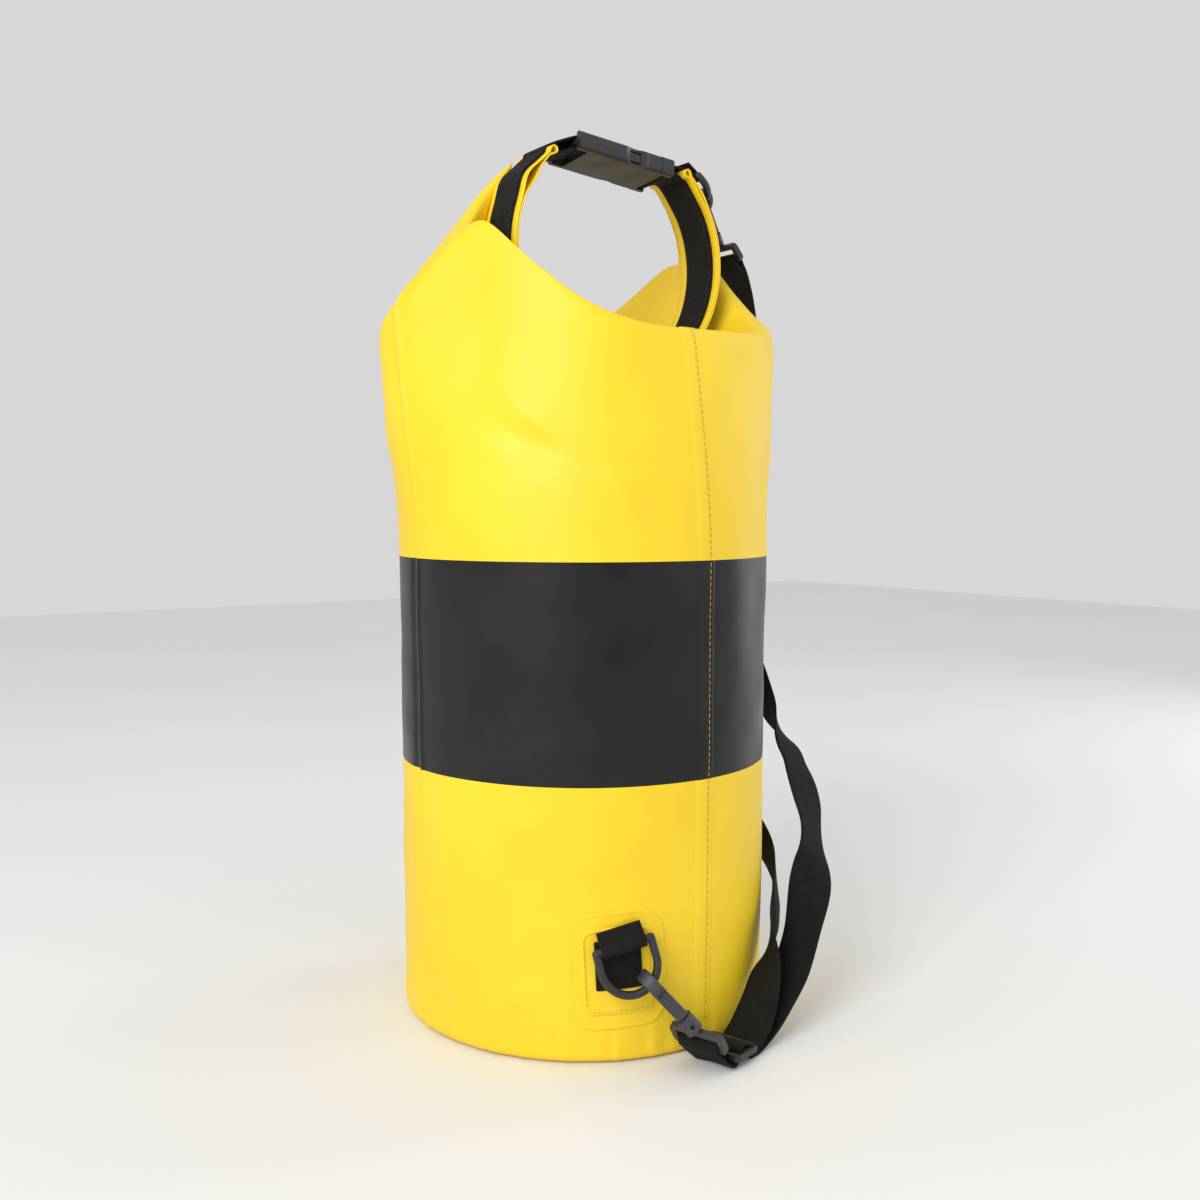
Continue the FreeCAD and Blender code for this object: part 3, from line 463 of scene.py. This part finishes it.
def grid_normals(grid):
    """Unit normals of a grid of points that closes on itself along its second axis."""
    along = np.gradient(grid, axis=0)
    across = np.roll(grid, -1, axis=1) - np.roll(grid, 1, axis=1)
    normal = np.cross(across, along)
    return normal / np.maximum(np.linalg.norm(normal, axis=2, keepdims=True), 1e-9)


def make_upper_skin():
    columns = shoulder_poles()
    rows = columns.shape[1]
    levels = np.concatenate([np.linspace(0, 3, 66)[:-1], np.linspace(3, rows - 3, 66)])
    down = np.array([clamped_weights(t, rows) for t in levels])
    round_weights = np.zeros((AROUND, POLES))
    for j, a in enumerate(DEGREES):
        which, weights = periodic_weights((a / 360.0) % 1.0 * POLES, POLES)
        for k, w in zip(which, weights):
            round_weights[j, k] += w
    grid = np.einsum("rk,jc,ckx->rjx", down, round_weights, columns)
    normals = grid_normals(grid)
    arc = np.cumsum(np.r_[np.zeros((1, AROUND)), np.linalg.norm(np.diff(grid, axis=0), axis=2)], axis=0)
    points, uv = [], []
    for i, level in enumerate(levels):
        fade = 1.0 - smooth_step(level, 4.6, 5.6)
        for j, a in enumerate(DEGREES):
            height = BAND_HEAD + arc[i, j]
            points.append(grid[i, j] + normals[i, j] * relief(a, height, grid[i, j]) * fade)
            uv.append((math.radians(a) * 0.11, height * MM))
    faces = grid_faces(len(levels), AROUND, around=True)
    last = (len(levels) - 1) * AROUND
    # the flat neck closes between its front and its back wall, at the same turn of the ring
    for j in range(AROUND // 4, 3 * AROUND // 4):
        faces.append((last + j, last + j + 1, last + mate(j + 1), last + mate(j)))
    piece("upper_skin", points, faces, "yellow_pvc", uv, ("upper_panel",))
    return grid, normals, levels


def mate(j):
    """Column of the back wall at the same turn of the ring as column j of the front wall."""
    return (AROUND * 3 // 2 - j) % AROUND


# ---------------------------------------------------------------- ribbons
def ribbon(name, stations, thick, material="webbing", width=25.0, steps=8, bulge=0.12, **rest):
    """Webbing with soft edges through stations of (middle point, across direction)."""
    rows = np.array([list(m) + list(unit(a)) for m, a in stations], float)
    line = through(rows, steps)
    middles, across = line[:, :3], line[:, 3:]
    runs = np.gradient(middles, axis=0)
    half, deep = width / 2, thick / 2
    profile = []
    count = 10
    for k in range(count + 1):
        s = -1 + 2 * k / count
        profile.append((s * (half - 0.35), deep * (1 + bulge * (1 - s * s)), k / count))
    profile.append((half - 0.05, deep * 0.5, 1.0))
    profile += [(x, -y, u) for x, y, u in profile[::-1]]
    profile.append((-half + 0.05, -deep * 0.5, 0.0))
    profile.append((-half + 0.05, deep * 0.5, 0.0))
    points, uv = [], []
    length = 0.0
    for i, middle in enumerate(middles):
        if i:
            length += np.linalg.norm(middle - middles[i - 1])
        run = unit(runs[i])
        side = unit(across[i] - run * np.dot(across[i], run))
        face = np.cross(run, side)
        for x, y, u in profile:
            points.append(middle + side * x + face * y)
            uv.append((u * width * MM, length * MM))
    size = len(profile)
    faces = grid_faces(len(middles), size, around=True)
    faces.append(tuple(range(size))[::-1])
    faces.append(tuple((len(middles) - 1) * size + k for k in range(size)))
    return piece(name, points, faces, material, uv, **rest)


# rise off the cloth in mm and share of the full thickness, at five places along one thread
THREAD = ((-0.12, 0.35), (0.05, 0.9), (0.12, 1.0), (0.05, 0.9), (-0.12, 0.35))


def between(at, length, rows):
    """Row at a distance along a path whose rows lie at the given lengths."""
    return np.array([np.interp(at, length, rows[:, k]) for k in range(3)])


def stitches(name, paths, material, pitch=3.4, long=2.3, thick=0.32, **rest):
    """Rows of short threads along paths of (point, outward normal)."""
    points, faces = [], []
    for path in paths:
        spots = np.array([p for p, n in path])
        outs = np.array([n for p, n in path])
        length = np.r_[0, np.cumsum(np.linalg.norm(np.diff(spots, axis=0), axis=1))]
        at = pitch / 2
        while at + long < length[-1]:
            ends = [between(at + d, length, spots) for d in (0, long / 2, long)]
            out = unit(between(at, length, outs))
            run = unit(ends[2] - ends[0])
            side = np.cross(out, run)
            base = len(points)
            middles = (ends[0], ends[0] + run * 0.3, ends[1], ends[2] - run * 0.3, ends[2])
            for spot, (rise, girth) in zip(middles, THREAD):
                for k in range(6):
                    angle = math.radians(60 * k)
                    points.append(spot + out * (rise + thick / 2 * girth * math.sin(angle))
                                  + side * thick / 2 * girth * math.cos(angle))
            faces += grid_faces(5, 6, around=True, start=base)
            faces.append(tuple(base + k for k in range(6))[::-1])
            faces.append(tuple(base + 24 + k for k in range(6)))
            at += pitch
    piece(name, points, faces, material, **rest)


# ---------------------------------------------------------------- mouth ring
WEB_MIDDLE = -26.0
OUTER_PART, INNER_PART = 0.75, 0.55     # how much of the parting the outer and the inner lip take
OUTER_WEB, INNER_WEB = 74.95, 71.05     # radii of the two webbings' middles
WEB_THICK, TAB_THICK, TAB_WIDE = 1.3, 1.25, 24.6
LEVEL = vec(0, 1, 0)


def parting(turn):
    """The two lips part a little near the ring's left end, and less near its right end."""
    return 3.2 * bell(turn, -121, 7) + 1.0 * bell(turn, 126, 6)


def make_lips():
    """One closed yellow band: front lip, loop at the right end, back lip, loop at the left end."""
    loop = ((137.3, 74.7), (138.4, 75.2), (139.6, 74.8), (140.3, 73.0), (139.6, 71.2), (138.4, 70.8),
            (137.3, 71.3))
    path = [(turn, 73.62 + OUTER_PART * parting(turn)) for turn in np.linspace(-136, 136, 170)]
    path += loop
    path += [(turn, 72.38 - INNER_PART * parting(turn)) for turn in np.linspace(136, -136, 170)]
    path += [(-turn, radius) for turn, radius in loop[::-1]]
    count = len(path)
    flat = np.array([ring_point(turn, radius, 0) for turn, radius in path])
    runs = np.roll(flat, -1, axis=0) - np.roll(flat, 1, axis=0)
    arc = np.r_[0, np.cumsum(np.linalg.norm(np.diff(flat, axis=0), axis=1))]
    half = 0.42
    rows = [(MOUTH_FRONT, 0.3), (MOUTH_FRONT + 0.15, 1.0)]
    rows += [(y, 1.0) for y in np.linspace(MOUTH_FRONT + 2, MOUTH_BACK - 2, 12)]
    rows += [(MOUTH_BACK - 0.4, 1.0), (MOUTH_BACK - 0.2, 0.3)]
    rings = [(y, half * share) for y, share in rows] + [(y, -half * share) for y, share in rows[::-1]]
    points, uv = [], []
    for y, offset in rings:
        for i in range(count):
            turn = path[i][0]
            out = unit(np.cross(LEVEL, unit(runs[i])))
            edge = 0.8 * noise.noise(Vector((turn * 0.045, 9.0, 1.0))) if y < MOUTH_FRONT + 1 else 0.0
            points.append(flat[i] + out * offset + vec(0, y + edge, 0))
            uv.append((arc[i] * MM, y * MM))
    faces = grid_faces(len(rings), count, around=True)
    last = (len(rings) - 1) * count
    faces += [(last + j, last + (j + 1) % count, (j + 1) % count, j) for j in range(count)]
    piece("lips", points, faces, "yellow_pvc", uv, ("front_lip", "back_lip"))


def make_ring_webbing():
    for name, radius, part in (("outer", OUTER_WEB, OUTER_PART), ("inner", INNER_WEB, -INNER_PART)):
        stations = [(ring_point(t, radius + part * parting(t), WEB_MIDDLE), LEVEL)
                    for t in np.linspace(-136.3, 136.3, 90)]
        ribbon("ring_webbing_" + name, stations, WEB_THICK, steps=2, replaces=(name + "_webbing",))
    paths = []
    for y in (WEB_MIDDLE - 10.2, WEB_MIDDLE + 10.2):
        for sign, radius, part in ((1, 75.72, OUTER_PART), (-1, 70.3, -INNER_PART)):
            path = []
            for t in np.linspace(-134, 134, 120):
                spot = ring_point(t, radius + part * parting(t), y)
                path.append((spot, unit(spot - vec(0, y, RING_HEIGHT)) * sign))
            paths.append(path)
    stitches("ring_stitching", paths, "black_thread", slot="webbing")


# ---------------------------------------------------------------- frames of the hardware
def frame_of(origin, x_dir, y_dir):
    x = unit(x_dir)
    y = unit(np.asarray(y_dir, float) - x * np.dot(y_dir, x))
    return np.asarray(origin, float), np.array([x, y, np.cross(x, y)])


def place(frame, *local):
    origin, axes = frame
    return origin + np.asarray(local, float) @ axes


SLOPE = math.radians(6.2)
BUCKLE = frame_of((0, -26, 504), (math.cos(SLOPE), 0, -math.sin(SLOPE)), (0, 0.9945, -0.1045))
TURN = math.radians(-24.0)
OUTWARD = vec(math.sin(TURN), -math.cos(TURN), 0)
RIGHTWARD = vec(math.cos(TURN), math.sin(TURN), 0)
UP = vec(0, 0, 1)


def leaning(degrees):
    return RIGHTWARD * math.cos(math.radians(degrees)) + UP * math.sin(math.radians(degrees))


LOWER_BAR = RIGHTWARD * 1.4 + OUTWARD * 116.2 + UP * 65.9
LOWER_RING = frame_of(LOWER_BAR, leaning(14.5), UP - OUTWARD * 0.18)
NOSE = math.radians(-56)
LOWER_NOSE = place(LOWER_RING, 15.2 * math.cos(NOSE), -10.2 + 15.2 * math.sin(NOSE), 0)
UPPER_BAR = vec(57.8, -26.0, 500.3)
UPPER_NOSE = UPPER_BAR + vec(0.8, 0, -0.6) * 18.2
UPPER_RING = frame_of(UPPER_BAR, (0, 1, 0), UPPER_BAR - UPPER_NOSE)
ACROSS = vec(0.30, -0.954, 0)


def eye_ring(nose, along, across):
    x, y = unit(along), unit(across)
    down = unit(x - y * np.dot(x, y))
    return frame_of(nose + x * 34.5 + down * 5.25, down, across)


LOWER_EYE_RING = eye_ring(LOWER_NOSE, vec(-11.9, -130.2, 17.6) - LOWER_NOSE, ACROSS)
UPPER_EYE_RING = eye_ring(UPPER_NOSE, vec(0.6, 0.245, -0.763), vec(0, 1, 0))
SLIDER = frame_of((8.8, -124.3, 6.0), (0.954, 0.30, 0), ACROSS)


# ---------------------------------------------------------------- tabs and keepers
def round_bar(frame, middle, radius, start, end, count=9):
    """Points round a bar that lies along the frame's own Y; angles from its X towards its Z."""
    made = []
    for a in np.radians(np.linspace(start, end, count)):
        made.append(place(frame, middle + radius * math.cos(a), 0, radius * math.sin(a)))
    return made


def make_tabs():
    across = BUCKLE[1][1]
    for name, side, bar in (("left_tab", -1, -29.3), ("right_tab", 1, 35.9)):
        turn = side * 136.5
        first, last = (100, -100) if side < 0 else (80, 280)
        roll = round_bar(BUCKLE, bar, 3.35, first, last)
        out_path = [ring_point(turn, OUTER_WEB, WEB_MIDDLE), ring_point(side * 139.3, 76.1, WEB_MIDDLE)]
        in_path = [ring_point(side * 139.6, 69.7, WEB_MIDDLE), ring_point(turn, INNER_WEB, WEB_MIDDLE)]
        out_path.append((out_path[-1] + roll[0]) / 2 + UP * 0.5)
        in_path.insert(0, (in_path[0] + roll[-1]) / 2 + UP * 0.4)
        stations = [(p, LEVEL) for p in out_path[:2]] + [(out_path[2], (LEVEL + across) / 2)]
        stations += [(p, across) for p in roll]
        stations += [(in_path[0], (LEVEL + across) / 2)] + [(p, LEVEL) for p in in_path[1:]]
        moves = side > 0
        obj = ribbon(name + "_webbing", stations, TAB_THICK, steps=5, width=TAB_WIDE, replaces=(name,),
                     ride=not moves)
        if moves:
            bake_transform(obj)


def make_keepers():
    ring = UPPER_RING
    wrap = [(0, 9.0, 3.0), (0, 4.5, 3.1), (0, 1.6, 3.2)]
    wrap += [(0, 3.15 * math.cos(a), 3.15 * math.sin(a)) for a in np.radians(np.linspace(75, 285, 9))]
    wrap += [(0, 1.4, -3.0), (0, 4.0, -1.6), (0, 7.0, 0.9)]
    ribbon("upper_keeper_webbing", [(place(ring, *p), ring[1][0]) for p in wrap], TAB_THICK, steps=5,
           width=TAB_WIDE, replaces=("upper_keeper",))
    ring = LOWER_RING
    wrap = [(0, 9.5, -3.4), (0, 6.0, -2.0), (0, 3.6, 0.9), (0, 1.9, 2.6)]
    wrap += [(0, 3.15 * math.cos(a), 3.15 * math.sin(a)) for a in np.radians(np.linspace(62, 268, 9))]
    wrap += [(0, 1.6, -3.5), (0, 6.0, -4.0)]
    ribbon("lower_keeper_webbing", [(place(ring, *p), ring[1][0]) for p in wrap], TAB_THICK, steps=5,
           width=TAB_WIDE, replaces=("lower_keeper",))


# ---------------------------------------------------------------- patch
LEAN = math.radians(3.0)


def patch_point(right, up, lift):
    """Point over the wall: right and up are measured on the patch, lift outwards."""
    across = right * math.cos(LEAN) - up * math.sin(LEAN)
    height = 50.5 + right * math.sin(LEAN) + up * math.cos(LEAN)
    degrees = -24.0 + math.degrees(across / 108.5)
    return wall_point(degrees, height, lift)


def rounded_outline(wide, tall, corner, count):
    """Points round a rectangle with round corners, evenly by angle within each corner."""
    points = []
    for cx, cy, start in ((1, 1, 0), (-1, 1, 90), (-1, -1, 180), (1, -1, 270)):
        middle = vec(cx * (wide / 2 - corner), cy * (tall / 2 - corner))
        for k in range(count):
            a = math.radians(start + 90 * k / (count - 1))
            points.append(middle + corner * vec(math.cos(a), math.sin(a)))
    closed = np.array(points + points[:1])
    length = np.r_[0, np.cumsum(np.linalg.norm(np.diff(closed, axis=0), axis=1))]
    even = np.linspace(0, length[-1], 161)[:-1]
    return np.stack([np.interp(even, length, closed[:, k]) for k in range(2)], axis=1)


def plate(name, wide, tall, corner, profile, material, replaces, shift=0.0, rough=0.0):
    """Sheet welded on the wall. profile gives pairs of (distance in from the edge, lift)."""
    outline = rounded_outline(wide, tall, corner, 9)
    count = len(outline)
    shrink = []
    for inward, lift in profile:
        shrink.append((1 - 2 * inward / wide, 1 - 2 * inward / tall, lift))
    for share in (0.8, 0.6, 0.4, 0.2, 0.07):
        last_x, last_y, lift = shrink[len(profile) - 1]
        shrink.append((last_x * share, last_y * share, lift))
    points, uv = [], []
    for sx, sy, lift in shrink:
        for x, y in outline:
            x, y = x * sx, y * sy + shift
            uneven = rough * noise.noise(Vector((x * 0.12, y * 0.12, lift * 0.1)))
            points.append(patch_point(x, y, lift + uneven * min(1.0, max(lift, 0.0))))
            uv.append((x * MM, y * MM))
    faces = grid_faces(len(shrink), count, around=True)
    last = (len(shrink) - 1) * count
    faces.append(tuple(last + k for k in range(count)))
    piece(name, points, faces, material, uv, replaces)


def make_patch():
    plate("patch_back", 54, 63, 14,
          ((0.0, -0.3), (0.15, 0.55), (0.6, 1.05), (1.3, 1.1), (2.0, 0.85), (3.2, 0.8)),
          "yellow_pvc", ("patch_outer",), rough=0.5)
    plate("patch_pad", 39, 46, 6, ((0.0, 0.4), (0.15, 1.5), (0.6, 2.1), (1.4, 2.15), (2.2, 1.75), (3.2, 1.7)),
          "yellow_pvc", ("patch_inner",), rough=0.4)
    plate("patch_strip", 25, 26, 0.6, ((0.0, 1.2), (0.1, 2.7), (0.5, 3.1), (1.5, 3.15), (3.0, 3.15)),
          "webbing", ("patch_webbing",), shift=3.5)
    path = [patch_point(x, y, 2.2) for x, y in rounded_outline(35.5, 42.5, 5, 9)]
    path.append(path[0])
    stitches("patch_stitching", [[(p, OUTWARD) for p in path]], "ochre_thread", pitch=3.0, long=2.0,
             thick=0.28, slot="yellow_pvc")


# ---------------------------------------------------------------- shoulder strap
EYE_BAR = 4.65          # from an eye's centre to the bar that the webbing turns round


def along_strap(along, height):
    """Point over the slider's own line, at a height above the ground."""
    point = place(SLIDER, along, 0, 0)
    return vec(point[0], point[1], height)


def ring_stations(ring, *spots):
    """Stations across an eye's bar, at places along and off its plane."""
    return [(place(ring, along, 0, off), ring[1][1]) for along, off in spots]


def bar_stations(ring, start, end):
    """Stations round an eye's bar."""
    return [(p, ring[1][1]) for p in round_bar(ring, EYE_BAR, 3.2, start, end)]


def make_strap():
    flat = ACROSS
    main = ring_stations(UPPER_EYE_RING, (13.5, -1.6), (9.0, -2.4))
    main += bar_stations(UPPER_EYE_RING, 300, 80)
    main += ring_stations(UPPER_EYE_RING, (9.2, 2.0))
    main += [
        ((111.5, -14, 444), (0, 1, 0.1)), ((119, -10, 432), (0, 1, 0.1)), ((125, -6, 414), (0, 1, 0)),
        ((128, -1, 388), (0, 1, 0)), ((130, 6, 352), (-0.05, 1, 0)), ((131, 12, 310), (-0.1, 1, 0)),
        ((130, 12, 268), (-0.1, 1, 0)), ((127, 4, 228), (0, 1, 0.1)), ((124, -14, 194), (0.1, 1, 0.3)),
        ((121, -38, 164), (0.2, 0.9, 0.6)), ((118, -62, 138), (0.3, 0.7, 0.75)),
        ((113, -80, 112), (0.4, 0.5, 0.8)), ((104, -92, 84), (0.5, 0.3, 0.75)),
        ((88, -103, 56), (0.55, 0.05, 0.7)), ((68, -112, 32), (0.55, -0.3, 0.5)),
        ((51, -115, 16), (0.5, -0.7, 0.3)), ((37, -116.5, 5.5), (0.4, -0.9, 0.08)),
        (along_strap(17, 1.0), flat), (along_strap(7.2, 1.0), flat)]
    strap = ribbon("strap_long", main, WEB_THICK, steps=9, replaces=("strap_main", "strap_upper_fold"),
                   ride=False)
    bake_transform(strap)
    tail = [
        (along_strap(7.2, 2.6), flat), (along_strap(14, 3.0), flat), ((33, -118, 11), (0.45, -0.8, 0.2)),
        ((45.5, -112.5, 25), (0.5, -0.5, 0.6)), ((61, -101.5, 43), (0.4, 0.1, 0.8)),
        ((80, -86.5, 61), (0.3, 0.35, 0.8)), ((97, -66, 76), (0.2, 0.4, 0.85)),
        ((109.5, -39, 87), (0.1, 0.4, 0.9)), ((115.5, -10, 92), (0, 0.2, 1)),
        ((114.5, 20, 88), (0, -0.15, 1)), ((107, 46, 76), (0.1, -0.4, 0.9)),
        ((95, 67, 58), (0.2, -0.5, 0.8)), ((83, 82, 37), (0.3, -0.6, 0.7))]
    free = ribbon("strap_free", tail, WEB_THICK, steps=9, replaces=("strap_tail",), ride=False)
    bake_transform(free)
    over = ((5.1, 2.4), (5.0, 6.6), (3.6, 9.1), (0, 9.7), (-3.6, 9.1), (-5.0, 6.6), (-5.6, 3.6), (-8.2, 2.0),
            (-10.8, 2.0))
    loop = [(along_strap(along, height), flat) for along, height in over]
    loop += ring_stations(LOWER_EYE_RING, (11.8, 0.9), (8.6, 1.8))
    loop += bar_stations(LOWER_EYE_RING, 60, 290)
    loop += ring_stations(LOWER_EYE_RING, (8.4, -2.2), (12.0, -0.7))
    band = ribbon("strap_loop_webbing", loop, WEB_THICK, steps=6,
                  replaces=("strap_loop", "strap_lower_fold"), ride=False)
    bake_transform(band)


# ---------------------------------------------------------------- seam thread
def make_seam(grid, normals, levels):
    column = int(np.argmin(np.abs(DEGREES - STITCH_AT)))
    angle = math.radians(SEAM_AT)
    side = vec(math.sin(angle), -math.cos(angle), 0)
    lower = [(wall_point(STITCH_AT, z, 0.25), side) for z in np.linspace(14, BAND_HEAD - 1, 150)]
    upper = []
    for i, level in enumerate(levels):
        if level < 4.4:
            out = normals[i, column]
            upper.append((grid[i, column] + out * (relief_at(i, column, grid) + 0.25), out))
    stitches("seam_thread", [lower, upper], "ochre_thread", pitch=3.6, long=2.7, thick=0.42,
             slot="yellow_pvc")


def relief_at(i, column, grid):
    """Relief at row i of the upper skin's grid, whose height runs on from the band along the skin."""
    arc = np.linalg.norm(np.diff(grid[:i + 1, column], axis=0), axis=1).sum() if i else 0.0
    return relief(DEGREES[column], BAND_HEAD + arc, grid[i, column])


# ---------------------------------------------------------------- build
make_wall()
grid, normals, levels = make_upper_skin()
make_lips()
make_ring_webbing()
make_tabs()
make_keepers()
make_patch()
make_strap()
make_seam(grid, normals, levels)

SLOTS = {entry["node"]: entry["material_slot"] for entry in frame["record"]["subparts"]}
for name, obj in NODES.items():
    obj.data.materials.clear()
    obj.data.materials.append(MATERIALS[SLOTS[name]])


# ---------------------------------------------------------------- floor, light and camera
def make_stage():
    mesh = bpy.data.meshes.new("floor")
    rows, size = 25, 6.0
    points = [(size * (i / (rows - 1) - 0.5), size * (j / (rows - 1) - 0.5), -0.0004)
              for i in range(rows) for j in range(rows)]
    mesh.from_pydata(points, [], grid_faces(rows, rows, flip=True))
    floor = bpy.data.objects.new("floor", mesh)
    bpy.context.scene.collection.objects.link(floor)
    material, tree, shader = new_material("floor", (0.86, 0.86, 0.85), 0.7)
    mottle(tree, shader, (0.845, 0.845, 0.84), (0.87, 0.87, 0.86), 1.5)
    mesh.materials.append(material)


def area_light(name, place_at, aim, size, power, colour=(1, 1, 1)):
    light = bpy.data.lights.new(name, "AREA")
    light.shape = "RECTANGLE"
    light.size, light.size_y = size
    light.energy = power
    light.color = colour
    obj = bpy.data.objects.new(name, light)
    obj.location = place_at
    obj.rotation_euler = (Vector(aim) - Vector(place_at)).to_track_quat("-Z", "Y").to_euler()
    bpy.context.scene.collection.objects.link(obj)


def make_light_and_camera():
    area_light("key", (-1.7, -0.9, 1.2), (0, 0, 0.28), (1.1, 1.1), 27)
    area_light("fill", (0.9, -1.7, 0.8), (0, 0, 0.25), (1.2, 1.4), 2.5)
    area_light("rim", (1.5, -0.1, 0.7), (0, 0, 0.25), (0.5, 1.4), 5)
    world = bpy.data.worlds.new("studio")
    world.use_nodes = True
    world.node_tree.nodes["Background"].inputs["Color"].default_value = (1, 1, 1, 1)
    world.node_tree.nodes["Background"].inputs["Strength"].default_value = 0.68
    bpy.context.scene.world = world
    camera = bpy.data.cameras.new("camera")
    camera.lens, camera.sensor_width = 39.0, 36.0
    camera.shift_x, camera.shift_y = 0.0142, -0.0817
    camera.clip_start, camera.clip_end = 0.05, 50
    obj = bpy.data.objects.new("camera", camera)
    obj.location = (-0.4473, -0.6632, 0.3)
    obj.rotation_euler = Vector((0.5592, 0.829, 0)).to_track_quat("-Z", "Y").to_euler()
    bpy.context.scene.collection.objects.link(obj)
    bpy.context.scene.camera = obj
    bpy.context.scene.view_settings.view_transform = "Standard"


make_stage()
make_light_and_camera()
